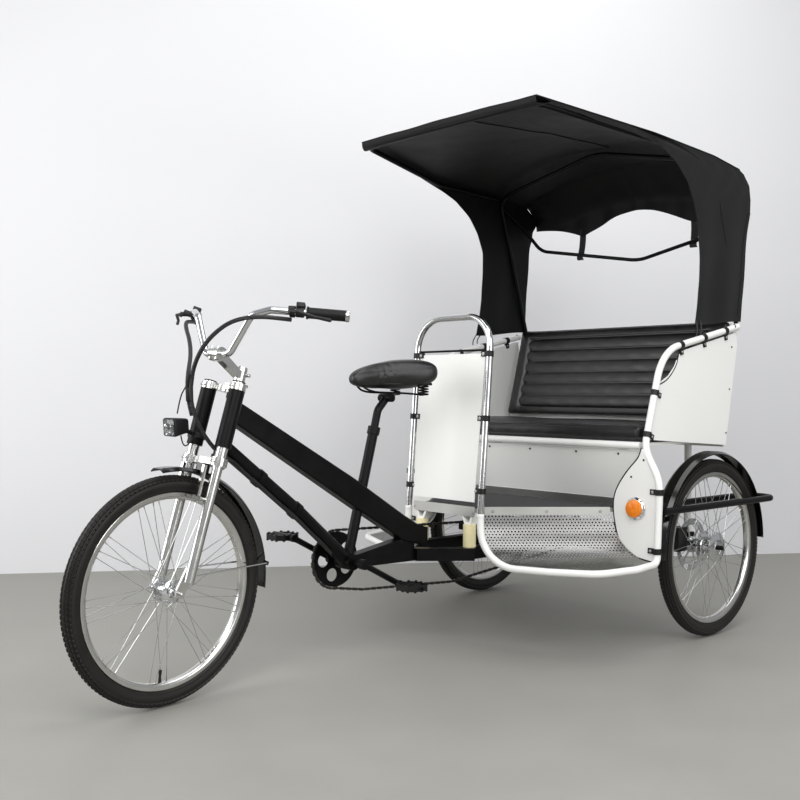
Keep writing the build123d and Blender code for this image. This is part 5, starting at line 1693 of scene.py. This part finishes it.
# ---------------------------------------------------------------- steps
@dataclass
class Steps:
    """Perforated scoop steps and the screws through their edge strips."""

    edge_front: Pair = (780, 140)
    edge_rear: Pair = (404, 444)
    floor_z: float = 500
    strip: float = 30
    tray_z: float = 315.6
    bend: float = 155
    slant: float = 10         # degrees that the wall leans out before its bend
    hole: float = 7.6
    pitch: float = 12.5
    sheet_gauge: float = 1.8
    plan: Rows = (
        # x, y of the sheet's outline from above, left side, in order
        (787.2, 136), (804.2, 136), (843, 214), (826, 290), (766, 426), (705, 580),
        (554, 628), (424.5, 624), (424.5, 420),
    )

    def build(self) -> None:
        """Make both steps."""
        sheet = self.sheet()
        screws = self.screws()
        ride("chassis", sheet, screws)
        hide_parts("steps")
        LOG.info("steps built: %d faces", len(sheet.data.polygons))

    def frame(self) -> tuple[Vector, Vector, Vector]:
        """The step's corner on the plan, the way along its wall, and the way out."""
        (fx, fy), (rx, ry) = self.edge_front, self.edge_rear
        ahead = Vector((rx - fx, ry - fy, 0)).normalized()
        out = Vector((-ahead.y, ahead.x, 0))
        if out.y < 0:
            out = -out
        return Vector((fx, fy, 0)) + out * 2.4 - ahead * 60, ahead, out

    def bent(self, s: float, t: float) -> Vector:
        """A point of the flat sheet on the bent one.

        Args:
            s: millimetres along the wall.
            t: millimetres down the wall, round the bend and out.
        """
        corner, ahead, out = self.frame()
        top, slant = self.floor_z - 4, radians(self.slant)
        wall = (top - self.tray_z - self.bend * (1 - sin(slant))) / cos(slant)
        turn = min(pi / 2, slant + max(0, t - wall) / self.bend)
        beyond = max(0, t - wall - self.bend * (pi / 2 - slant))
        straight = min(t, wall)
        away = straight * sin(slant) + self.bend * (cos(slant) - cos(turn)) + beyond
        z = top - straight * cos(slant) - self.bend * (sin(turn) - sin(slant))
        return corner + ahead * s + out * away + Vector((0, 0, z))

    def tile(self) -> BMesh:
        """One six-sided cell of the sheet with its round hole, flat."""
        shape = bmesh.new()
        for radius in (self.pitch / sqrt(3), self.hole / 2):
            bmesh.ops.create_circle(shape, segments=6, radius=mm(radius), matrix=rotation(30, "Z"))
        bmesh.ops.bridge_loops(shape, edges=shape.edges[:])
        return shape

    def sheet(self) -> Object:
        """The left sheet tiled flat, bent, cut to its plan, and mirrored."""
        shape = self.tile()
        step_x, step_y = mm(self.pitch), mm(self.pitch * sqrt(3) / 2)
        copies = (48, (step_x, 0, 0)), (2, (step_x / 2, step_y, 0)), (22, (0, 2 * step_y, 0))
        for count, shift in copies:
            base = whole(shape)
            for copy in range(1, count):
                made = bmesh.ops.duplicate(shape, geom=base)["geom"]
                bmesh.ops.translate(shape, verts=of_kind(made, BMVert), vec=Vector(shift) * copy)
        bmesh.ops.remove_doubles(shape, verts=shape.verts, dist=mm(0.4))
        for vertex in shape.verts:
            vertex.co = point(*self.bent(vertex.co.x * 1000, self.strip + vertex.co.y * 1000))
        centre = point(620, 430, 0)
        for start, end in zip(self.plan, self.plan[1:]):
            a, b = point(*start, 0), point(*end, 0)
            outwards = Vector((0, 0, 1)).cross(b - a).normalized()
            if (centre - a).dot(outwards) > 0:
                outwards = -outwards
            bmesh.ops.bisect_plane(shape, geom=whole(shape), plane_co=a, plane_no=outwards, clear_outer=True,
                                   dist=1e-6)
        bmesh.ops.recalc_face_normals(shape, faces=shape.faces)
        mirrored_copy(shape)
        # the steps' finish carries painted shade: a colour darker than the aluminium's own
        return gauge(new_piece("step_sheets", shape, STEP_ALUMINIUM_PAINTED_SHADE, None), self.sheet_gauge, 0, 30)

    def screws(self) -> Object:
        """Round-headed screws through the edge strips."""
        shape = bmesh.new()
        corner, ahead, out = self.frame()
        for s in (90, 285, 480):
            spot = corner + ahead * s + out * 2 + Vector((0, 0, self.floor_z - 16))
            add_bolt(shape, point(*spot), out, 7, 2, domed=True)
        mirrored_copy(shape)
        return new_piece("step_screws", shape, ZINC)


# ---------------------------------------------------------------- bar and its controls
@dataclass
class Cockpit:
    """Grips, levers, switch blocks, stem bolts and the rings of the fork."""

    bar: Rows = (
        # steering group: forward, left, up
        (102.7, 0, 92), (102.7, 56, 92), (113.5, 127, 208), (92, 180, 231),
        (-49, 357, 258),
    )
    grip_length: float = 124
    grip_radius: float = 16.5

    def build(self) -> None:
        """Make every piece on the bar, the stem and the crowns."""
        grips, ends = self.grips(), self.end_rings()
        controls = join("bar_controls_fine", [self.controls(1), self.controls(-1)])
        fittings = self.fittings()
        rings = self.rings()
        ride("steering", grips, ends, controls, fittings, rings)
        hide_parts("grips")
        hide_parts("bar_controls")
        LOG.info("cockpit built")

    def on_bar(self, side: int, back: float) -> Vector:
        """A point on the bar's straight end, measured back from its tip, in steering millimetres."""
        tip, elbow = Vector(self.bar[-1]), Vector(self.bar[-2])
        spot = tip + (elbow - tip).normalized() * back
        return Vector((spot.x, side * spot.y, spot.z))

    def lie(self, side: int, back: float) -> Matrix:
        """A frame on the bar's end: Z along the bar to its tip, X forward, from a distance back."""
        at = STEERING.place(*self.on_bar(side, back))
        along = (STEERING.place(*self.on_bar(side, back - 10)) - at).normalized()
        ahead = (STEERING.place(*(self.on_bar(side, back) + Vector((10, 0, 0)))) - at).normalized()
        ahead = (ahead - along * ahead.dot(along)).normalized()
        return Matrix.Translation(at) @ Matrix((ahead, along.cross(ahead), along)).transposed().to_4x4()

    def grips(self) -> Object:
        """Ribbed rubber grips with a flange at the inner end."""
        shape = bmesh.new()
        radius, end = self.grip_radius, self.grip_length
        profile = [(13, 4), (radius - 1.2, 4)]
        for y in range(7, 117, 5):
            profile += [(radius, y), (radius, y + 3.2), (radius - 1.1, y + 3.7), (radius - 1.1, y + 4.6)]
        profile += [(radius + 2, 118), (radius + 2, end - 1), (13, end)]
        for side in (1, -1):
            ring = turned(profile, 40)
            bmesh.ops.transform(ring, verts=ring.verts, matrix=self.lie(side, 0) @ rotation(-90, "X"))
            bmesh.ops.recalc_face_normals(ring, faces=ring.faces)
            merge(shape, ring)
        return new_piece("grip_sleeves", shape, SOFT_RUBBER)

    def end_rings(self) -> Object:
        """Bright lock rings at the tips."""
        shape = bmesh.new()
        for side in (1, -1):
            frame = self.lie(side, 0)
            add_rod(shape, frame @ metres(0, 0, -9), frame @ metres(0, 0, 0.8), 17.6, 40)
            add_rod(shape, frame @ metres(0, 0, 0.6), frame @ metres(0, 0, 1.4), 9, 6)
            for turn in range(6):
                spot = Matrix.Rotation(turn * pi / 3, 4, "Z") @ metres(14, 0, 0.5)
                add_rod(shape, frame @ spot, frame @ (spot + metres(0, 0, 0.7)), 1.6, 10)
        soften(shape, 0.7)
        return new_piece("grip_rings", shape, POLISHED_ALLOY)

    def controls(self, side: int) -> Object:
        """One end's switch block, clamp, lever and its hinge."""
        shape = bmesh.new()
        frame = self.lie(side, 151)
        for low, high, radius in ((-21, -5, 17.2), (-3, 21, 15.5)):
            add_rod(shape, frame @ metres(0, 0, low), frame @ metres(0, 0, high), radius, 36)
        lift = offset(2, side * -19, 9)
        add_block(shape, (26, 15, 25), frame @ lift)
        add_block(shape, (26, 18, 17), frame @ offset(24, side * 5, -13))
        soften(shape, 2.2, 2)
        hinge = frame @ metres(42, side * 15, -14)
        up = frame.to_3x3() @ Vector((0, 1, 0))
        add_rod(shape, frame @ metres(20, side * 6, -13), hinge, 7.5, 20, 6)
        add_rod(shape, hinge - up * mm(8), hinge + up * mm(8), 5, 20)
        path = [hinge, frame @ metres(56, side * 20, 8),
                frame @ metres(50, side * 30, 60),
                frame @ metres(53, side * 37, 104)]
        for start, end, low, high in zip(path, path[1:], (6, 5.2, 4.6), (5.2, 4.6, 5.4)):
            add_rod(shape, start, end, low, 14, high)
            bmesh.ops.create_uvsphere(shape, u_segments=12, v_segments=8, radius=mm(high),
                                      matrix=Matrix.Translation(end))
        add_bolt(shape, frame @ metres(36, side * 5, -13), up * side, 6, 1.5, domed=True)
        return new_piece("controls", shape, BLACK_PLASTIC)

    def fittings(self) -> Object:
        """Bolts of the stem's face plate and steerer clamp, and of both crowns."""
        shape = bmesh.new()
        for left in (15, -15):
            for up in (17, -17):
                seat = STEERING.place(116.7, left, 92 + up)
                ahead = (STEERING.place(200, left, 92 + up) - seat).normalized()
                add_rod(shape, seat - ahead * mm(22), seat + ahead * mm(3), 4.6, 20)
                add_rod(shape, seat + ahead * mm(2.9), seat + ahead * mm(3.6), 2.4, 6)
        for up in (28, 62):
            start, end = STEERING.place(-20, -17, up), STEERING.place(-20, 19, up)
            add_rod(shape, start, end, 5.2, 20)
            add_rod(shape, end, end + (end - start).normalized() * mm(0.8), 2.6, 6)
        for up in (6, -222):
            for side in (1, -1):
                seat = STEERING.place(51 + 24, side * 67.5, up)
                ahead = (STEERING.place(200, side * 67.5, up) - seat).normalized()
                across = (STEERING.place(75, side * 90, up) - seat).normalized()
                seat -= ahead * mm(1)
                add_rod(shape, seat - across * mm(9), seat + across * mm(11), 4.2, 16)
        soften(shape, 0.6)
        return new_piece("stem_bolts", shape, CHROME)

    def rings(self) -> Object:
        """Black rubber rings on the top crown and caps over the stanchions."""
        shape = bmesh.new()
        rings = [
            # ahead, left, foot, top, radius
            (51, 67.5, 20.4, 23.6, 19.5), (51, -67.5, 20.4, 23.6, 19.5), (0, 0, 17.5, 21.5, 20.5),
        ]
        for ahead, left, low, high, radius in rings:
            add_rod(shape, STEERING.place(ahead, left, low), STEERING.place(ahead, left, high), radius, 40)
        soften(shape, 1.2, 2)
        return new_piece("crown_rings", shape, SOFT_RUBBER)


@dataclass
class Headlight:
    """Boxy lamp with a reflector behind a clear lens."""

    centre: Triple = (150, -38, -146)     # in the steering group
    tilt: float = 22
    size: Triple = (60, 60, 56)

    def build(self) -> None:
        """Make the case, the bright bowl, the lens and the arm with its clamp."""
        case, bowl, lens = self.case(), self.bowl(), self.lens()
        ride("steering", case, bowl, lens)
        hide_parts("headlight")
        LOG.info("headlight built")

    def frame(self) -> Matrix:
        """The lamp's own frame, X out of its lens."""
        return STEERING.matrix() @ offset(*self.centre) @ rotation(self.tilt, "Y")

    def case(self) -> Object:
        """Moulded case, flaring to the front, with its clamp and arm."""
        shape = bmesh.new()
        length, width, height = self.size
        made = add_block(shape, (length, width, height), self.frame())
        inverse = self.frame().inverted()
        for vertex in made:
            place = inverse @ vertex.co
            if place.x < 0:
                place.y *= 0.72
                place.z *= 0.74
                vertex.co = self.frame() @ place
        soften(shape, 8, 4)
        facing = inverse.to_3x3()
        front = [f for f in shape.faces if (facing @ f.normal).x > 0.98 and f.calc_area() > 1e-4]
        bmesh.ops.inset_region(shape, faces=front, thickness=mm(3.5), depth=0)
        bmesh.ops.translate(shape, verts=list({v for f in front for v in f.verts}),
                            vec=self.frame().to_3x3() @ metres(-7, 0, 0))
        rods = [
            # start and end in the steering group, radius, facets: the ring on the leg, the arm, its bolt
            ((51, -67.5, -158), (51, -67.5, -142), 27, 48),
            ((71, -54, -150), (128, -41, -148), 6.5, 20),
            ((84, -60, -150), (84, -42, -150), 5, 16),
        ]
        for start, end, radius, facets in rods:
            add_rod(shape, STEERING.place(*start), STEERING.place(*end), radius, facets)
        return new_piece("headlight_case", shape, BLACK_PLASTIC)

    def bowl(self) -> Object:
        """Two bright reflector bowls with a small emitter in each."""
        shape = bmesh.new()
        for up in (11.5, -11.5):
            for side in (12.5, -12.5):
                centre, turn = self.frame() @ offset(23.5, side, up), rotation(90, "Y")
                bmesh.ops.create_cone(shape, cap_ends=False, segments=32, radius1=mm(3), radius2=mm(10.4),
                                      depth=mm(8), matrix=centre @ turn)
                bmesh.ops.create_circle(shape, cap_ends=True, segments=16, radius=mm(3.2),
                                        matrix=centre @ offset(-4, 0, 0) @ turn)
        return new_piece("headlight_bowls", shape, CHROME)

    def lens(self) -> Object:
        """Clear front."""
        shape = bmesh.new()
        add_block(shape, (2.6, 51, 47), self.frame() @ offset(28.8, 0, 0))
        soften(shape, 1, 2)
        return new_piece("headlight_lens", shape, CLEAR)


# ---------------------------------------------------------------- trim of the cabin
# y, z of the wings' rounded inner edge, from the tip down
WING_EDGE = ((556, 718), (549, 692), (533, 671), (511, 649), (488, 622), (465, 590), (449, 560), (441, 530),
             (440, 500), (443, 470), (449, 440), (456, 412), (468, 380), (490, 356), (522, 338), (560, 327))


@dataclass
class Trim:
    """Clips, hooks, strips, screws, piping and the lamps on the cabin."""

    hoop_foot: Triple = (847, 183, 478)
    hoop_top: Triple = (797, 184, 1182)
    wing_x: float = 422.5
    front_lean: float = atan2(48, 208)     # of the seat's front, in radians

    def build(self) -> None:
        """Make every piece."""
        pieces = [self.clips(), self.clip_bolts(), self.panel_strips(), self.screws(), self.small_screws(),
                  self.piping(), *self.lamps()]
        ride("chassis", *pieces)
        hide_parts("wing_lamps")
        LOG.info("trim built")

    def hoop_at(self, z: float) -> Vector:
        """The left post's axis at a height."""
        low, high = Vector(self.hoop_foot), Vector(self.hoop_top)
        return low + (high - low) * ((z - low.z) / (high.z - low.z))

    def add_clip(self, shape: BMesh, centre: Vector, along: Vector, towards: Vector,
                 radius: float = 12.6) -> None:
        """A rubber-lined band clip round a tube, its tab bolted to the panel beside it.

        Args:
            shape: the mesh it joins.
            centre: the tube's axis, in vehicle millimetres.
            along: the tube's direction.
            towards: from the tube to the tab.
            radius: the tube's radius.
        """
        along, towards = along.normalized(), towards.normalized()
        out = along.cross(towards).normalized()
        frame = Matrix((towards, out, along)).transposed().to_4x4()
        for shift, extra in ((0, 2), (-9, 2.6), (9, 2.6)):
            half = 10 if shift == 0 else 1.2
            low, high = centre + along * (shift - half), centre + along * (shift + half)
            add_rod(shape, point(*low), point(*high), radius + extra, 28)
        tab = Matrix.Translation(point(*(centre + towards * (radius + 11)))) @ frame
        add_block(shape, (24, 11, 19), tab)
        for up in (5.5, -5.5):
            add_rod(shape, tab @ metres(-6, 0, up), tab @ metres(5, 0, up), 4.4, 16)

    def clips(self) -> Object:
        """Clips on the hoop, the wing tubes and the side walls, hooks under the arm rails."""
        shape = bmesh.new()
        for centre, along, towards in self.clip_places():
            self.add_clip(shape, Vector(centre), Vector(along), Vector(towards))
        mirrored_copy(shape)
        return new_piece("tube_clips", shape, BLACK_PLASTIC)

    def clip_places(self) -> list[tuple[tuple, tuple, tuple]]:
        """Each left clip's place on its tube, the tube's direction and the way to the panel."""
        post = tuple(Vector(self.hoop_top) - Vector(self.hoop_foot))
        side, arm = (-0.3, 0, 0.95), (-0.98, 0, 0.21)
        places = [(tuple(self.hoop_at(z)), post, (0, -1, 0)) for z in (1046, 818, 562)]
        wing = ((420.6, 630, 567), (423.4, 625, 362))
        places += [(place, (-0.01, 0.025, 1), (0, -1, 0)) for place in wing]
        places += [((x, SIDE_Y, z), side, (-0.95, 0, -0.3)) for x, z in ((348.5, 912), (393, 764))]
        rail = ((186, 1088), (28, 1122), (-127, 1155))
        return places + [((x, SIDE_Y, z), arm, (-0.21, 0, -0.98)) for x, z in rail]

    def clip_bolts(self) -> Object:
        """Bright bolts through the clips' tabs."""
        shape = bmesh.new()
        for centre, along, towards in self.clip_places():
            out = Vector(along).cross(Vector(towards)).normalized()
            spot = Vector(centre) + Vector(towards).normalized() * 25
            for face in (out, -out):
                add_bolt(shape, point(*(spot + face * 5.5)), face, 6.5, 2.4, domed=True)
        mirrored_copy(shape)
        return new_piece("clip_bolts", shape, ZINC)

    def panel_strips(self) -> Object:
        """Bright strip along the foot of the seat front."""
        shape = bmesh.new()
        place = Matrix.Translation(point(353.9, 0, 513.6)) @ Matrix.Rotation(self.front_lean, 4, "Y")
        add_block(shape, (1.6, 872, 27), place)
        soften(shape, 0.4, 1)
        return new_piece("foot_strip", shape, SHEET_ALUMINIUM)

    def screws(self) -> Object:
        """Bright round-headed screws of the strips."""
        shape = bmesh.new()
        out = Vector((cos(self.front_lean), 0, -sin(self.front_lean)))
        for y in (-350, -190, -22, 147, 351):
            add_bolt(shape, point(353, y, 521), out, 7, 2.2, domed=True)
        for y in (-150, 150):
            add_bolt(shape, point(848.4, y, 484), Vector((1, 0, 0)), 6, 2, domed=True)
        return new_piece("strip_screws", shape, ZINC)

    def small_screws(self) -> Object:
        """Small black screws in the white panels."""
        shape = bmesh.new()
        out = Vector((cos(self.front_lean), 0, -sin(self.front_lean)))
        for y in (-440, -185, 27, 251, 440):
            add_bolt(shape, point(395.6, y, 692), out, 4.6, 1.6, domed=True)
        left = bmesh.new()
        for y, z in ((515, 614), (566, 676)):
            add_bolt(left, point(self.wing_x, y, z), Vector((1, 0, 0)), 4.6, 1.6, domed=True)
        for x, z in ((-180, 1095), (-165, 930), (-142, 760)):
            add_bolt(left, point(x, 561.6, z), Vector((0, 1, 0)), 4.6, 1.6, domed=True)
        mirrored_copy(left)
        merge(shape, left)
        return new_piece("panel_screws", shape, BLACK_PLASTIC)

    def piping(self) -> Object:
        """Black edging on the wings' rounded inner edges and on the side walls' cut-out."""
        edge = (*WING_EDGE, (612, 322))
        cut = [(198, 1052), (203, 1040), (210, 1018), (234, 990), (262, 967), (292, 951), (326, 941)]
        runs = []
        for side in (1, -1):
            wing = [point(self.wing_x - 2.5, side * (y - 0.5), z) for y, z in edge]
            runs.append(curve_piece("edge", wing, 3.6, SOFT_RUBBER))
        for side in (1, -1):
            runs.append(curve_piece("edge", [point(x, side * SIDE_Y, z) for x, z in cut], 3, SOFT_RUBBER))
        return join("wing_edging", runs)

    def lamps(self) -> list[Object]:
        """Amber lenses on scalloped bright bases, with their screws."""
        base, lens = bmesh.new(), bmesh.new()
        centre = Vector((self.wing_x, 536, 504))
        ring = turned([(29, 0.3), (41, 0.3), (41, 3), (39, 6.2), (34.5, 8.2), (32.6, 12),
                       (29, 12)], 48)
        for vertex in ring.verts:
            reach = hypot(vertex.co.x, vertex.co.z) * 1000
            if reach > 37:
                angle = atan2(vertex.co.z, vertex.co.x)
                scale = 1 - 0.035 * (0.5 - 0.5 * cos(12 * angle))
                vertex.co.x *= scale
                vertex.co.z *= scale
        stand = Matrix.Translation(point(*centre)) @ rotation(-90, "Z")
        bmesh.ops.transform(ring, verts=ring.verts, matrix=stand)
        merge(base, ring)
        for step in range(4):
            angle = radians(45 + 90 * step)
            spot = centre + Vector((5.5, 36.8 * cos(angle), 36.8 * sin(angle)))
            add_bolt(base, point(*spot), Vector((1, 0, 0)), 4, 1.2, domed=True)
        dome = turned([(0.05, 7), (31.8, 7), (31.8, 17), (29.6, 22), (23, 24.6), (11, 25.8),
                       (0.05, 26)], 48)
        for vertex in dome.verts:
            reach = hypot(vertex.co.x, vertex.co.z) * 1000
            if vertex.co.y > mm(11) and reach > 5:
                vertex.co.y += mm(0.5) * cos(atan2(vertex.co.z, vertex.co.x) * 24)
        bmesh.ops.transform(dome, verts=dome.verts, matrix=stand)
        merge(lens, dome)
        mirrored_copy(base)
        mirrored_copy(lens)
        return [new_piece("lamp_bases", base, CHROME), new_piece("lamp_lenses", lens, AMBER)]


# ---------------------------------------------------------------- bent tubes
@dataclass
class BentTube:
    """A round tube of straight runs joined by arcs."""

    name: str
    radius: float
    finish: Finish
    route: list[tuple[float, float, float, float]]      # x, y, z, bend radius

    def arc(self, index: int) -> tuple[Vector, Vector, Vector, float]:
        """A corner's arc: its start, its end, the corner and the length of its handles."""
        before, here, after = [Vector(self.route[index + step][:3]) for step in (-1, 0, 1)]
        back, ahead = (before - here).normalized(), (after - here).normalized()
        turn = pi - back.angle(ahead)
        reach = self.route[index][3] * tan(turn / 2)
        handle = self.route[index][3] * 4 / 3 * tan(turn / 4)
        return here + back * reach, here + ahead * reach, here, handle

    def piece(self) -> Object:
        """The tube as a Bezier curve with a round section."""
        tube = round_curve(self.name, self.radius, self.finish, 6)
        spline = tube.data.splines.new("BEZIER")
        first, last = Vector(self.route[0][:3]), Vector(self.route[-1][:3])
        knots = [(first, first, first)]
        for index in range(1, len(self.route) - 1):
            start, end, corner, handle = self.arc(index)
            towards = (corner - start).normalized() * handle
            away = (end - corner).normalized() * handle
            knots += [(start - towards, start, start + towards), (end - away, end, end + away)]
        knots.append((last, last, last))
        spline.bezier_points.add(len(knots) - 1)
        for knot, (left, place, right) in zip(spline.bezier_points, knots):
            knot.co, knot.handle_left, knot.handle_right = point(*place), point(*left), point(*right)
        spline.resolution_u = 10
        return tube


@dataclass
class Tubes:
    """The bright hoop behind the driver and the white tube round each side of the cabin."""

    hoop_radius: float = 12.2
    cabin_radius: float = 12.6
    joint: Triple = (847, 183, 478)
    hoop_corner: Triple = (797, 184, 1182)
    hoop_bend: float = 112
    route: Rows = (
        # x, y, z, bend radius; from under the hoop, round the step, up the wing and along the arm
        (847, 183, 478, 0), (851, 190, 302, 134), (773, 428, 304, 150),
        (711.5, 588, 310, 90), (554, 634, 315, 100), (424, 624, 319, 26),
        (420, 631, 606, 143), (409, 560, 716, 140), (302, 560, 1063.5, 175),
        (-224, 560, 1176, 0),
    )

    wing_outer: Rows = ((620, 322), (628, 400), (630, 560), (624, 606), (600, 648), (570, 700))

    def build(self) -> None:
        """Make the hoop and both white tubes."""
        hoop, cabin, sockets, wings = self.hoop(), self.cabin(), self.sockets(), self.wings()
        ride("chassis", hoop, cabin, sockets, wings)
        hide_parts("wings")
        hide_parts("hoop")
        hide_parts("cabin_tubes")
        LOG.info("tubes built")

    def hoop(self) -> Object:
        """The bright bent hoop."""
        (x, y, z), (top_x, top_y, top_z) = self.joint, self.hoop_corner
        route = [(x, y, z, 0), (top_x, top_y, top_z, self.hoop_bend),
                 (top_x, -top_y, top_z, self.hoop_bend), (x, -y, z, 0)]
        return BentTube("hoop_tube", self.hoop_radius, STAINLESS, route).piece()

    def cabin(self) -> Object:
        """Both white tubes, with the lugs that carry the hood."""
        sides = [[(x, side * y, z, bend) for x, y, z, bend in self.route] for side in (1, -1)]
        tubes = [BentTube("side_tube", self.cabin_radius, WHITE_ENAMEL, side).piece() for side in sides]
        lugs = bmesh.new()
        add_block(lugs, (52, 17.4, 24.4), Matrix.Translation(point(-240, 541.6, 1177.5)))
        soften(lugs, 1.5)
        mirrored_copy(lugs)
        return join("cabin_tube_pair", [*tubes, new_piece("lugs", lugs, WHITE_ENAMEL)])

    def wings(self) -> Object:
        """White panels beside the footwell, out to the tubes, and the seat front's upper corners."""
        shape = plate([point(417.5, y, z) for y, z in WING_EDGE + self.wing_outer], 5)
        low, high = (371, 590), (393.5, 706)
        corner = [point(low[0], 488, low[1]), point(low[0], 500, low[1]), point(high[0], 553, high[1]),
                  point(high[0], 488, high[1])]
        merge(shape, plate(corner, 3))
        mirrored_copy(shape)
        return new_piece("wing_panels", shape, WHITE_ENAMEL)

    def sockets(self) -> Object:
        """Welded rings where the hoop stands on the white tubes."""
        shape = bmesh.new()
        x, y, z = self.joint
        add_rod(shape, point(x + 0.3, y, z - 7), point(x, y, z + 3), 13.6, 32)
        soften(shape, 0.8)
        mirrored_copy(shape)
        return new_piece("hoop_sockets", shape, WHITE_ENAMEL)


# ---------------------------------------------------------------- cables
@dataclass
class Cables:
    """Ribbed cable bundles, the lamp's thin leads and the front fender's stays."""

    bundle_radius: float = 6.4
    left_run: Rows = (
        # steering group: forward, left, up; from the left controls past the head and down the frame
        (52, 230, 214), (84, 219, 207), (126, 203, 197), (166, 178, 182),
        (196, 146, 158), (208, 112, 126), (212, 80, 90), (205, 50, 50),
        (190, 24, 10), (172, 10, -32), (156, 6, -70), (130, 6, -106),
        (100, 8, -138), (66, 14, -166), (32, 26, -190), (-6, 36, -202),
    )
    frame_run: Rows = (
        # the same group straight ahead, on down the frame
        (-30, 35, -206), (-55, 27, -213), (-88, 24, -228), (-147.6, 24, -249.8),
        (-229, 25.5, -286.5), (-311.1, 24, -315), (-380, 25, -351), (-440, 25, -374),
        (-486, 22, -398),
    )
    right_run: Rows = (
        (52, -230, 214), (84, -207, 204), (118, -176, 188), (134, -140, 160),
        (142, -104, 130), (150, -72, 96), (160, -44, 58), (172, -22, 18),
        (173, -8, -26), (156, -6.4, -70), (131, -6.4, -106),
    )

    def build(self) -> None:
        """Make the bundles, the leads and the stays."""
        straight = SteeringAxis(rest=0)
        path = [STEERING.place(*spot) for spot in self.left_run]
        path += [straight.place(*spot) for spot in self.frame_run]
        main = join("cable_bundle_left", [curve_piece("bundle", path, self.bundle_radius, RIBBED_RUBBER)])
        STEERING.place(66, 14, -166)
        straight.place(-30, 35, -206)
        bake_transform(main)
        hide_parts("cable_upper", "cable_lower")
        right = curve_piece("cable_bundle_right", [STEERING.place(*spot) for spot in self.right_run],
                            self.bundle_radius, RIBBED_RUBBER)
        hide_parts("cable_right")
        ride("steering", right, self.sleeve(), self.leads(), self.stays())
        LOG.info("cables built")

    def sleeve(self) -> Object:
        """Smooth wrap where the two bundles meet."""
        shape = bmesh.new()
        wraps = [((188, 16, 6), (171, 1, -30)), ((171, 1, -30), (156, 0, -70))]
        for start, end in wraps:
            add_rod(shape, STEERING.place(*start), STEERING.place(*end), 11, 24)
        soften(shape, 2, 2)
        return new_piece("cable_wrap", shape, SOFT_RUBBER)

    def leads(self) -> Object:
        """Thin leads into the lamp and on to the brake."""
        runs = [
            [(172, 8, 0), (180, -12, -40), (168, -32, -80), (160, -38, -110)],
            [(128, -38, -168), (114, -37, -196), (98, -30, -190), (88, -22, -150)],
        ]
        routes = [[STEERING.place(*spot) for spot in run] for run in runs]
        pieces = [curve_piece("lead", route, 2, SOFT_RUBBER) for route in routes]
        return join("lamp_leads", pieces)

    def stays(self) -> Object:
        """Bright wire stays from the fork's feet to the fender."""
        shape = bmesh.new()
        for side in (1, -1):
            foot = STEERING.place(46, side * 63.5, -557)
            add_rod(shape, foot, STEERING.place(-251.5, side * 34, -473.4), 2.9, 12)
        return new_piece("fender_stays", shape, CHROME)


# ---------------------------------------------------------------- the whole
def keep_size() -> None:
    """Bring the scene's evaluated state up to date."""
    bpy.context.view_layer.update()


def main() -> None:
    """Build the studio and every sub-assembly in order."""
    logging.basicConfig(level=logging.INFO, format="%(name)s: %(message)s")
    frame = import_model()
    Studio().build()
    LOG.info("studio ready")
    dress_frame(frame)
    LOG.info("frame dressed: %d nodes", len(frame["nodes"]))
    build_wheels()
    for assembly in (Hood, Bench, Saddle, Steps, Cockpit, Headlight, Tubes, Cables, Trim):
        assembly().build()
    bpy.context.scene.view_settings.view_transform = "Standard"
    keep_size()


if __name__ == "__main__":
    main()
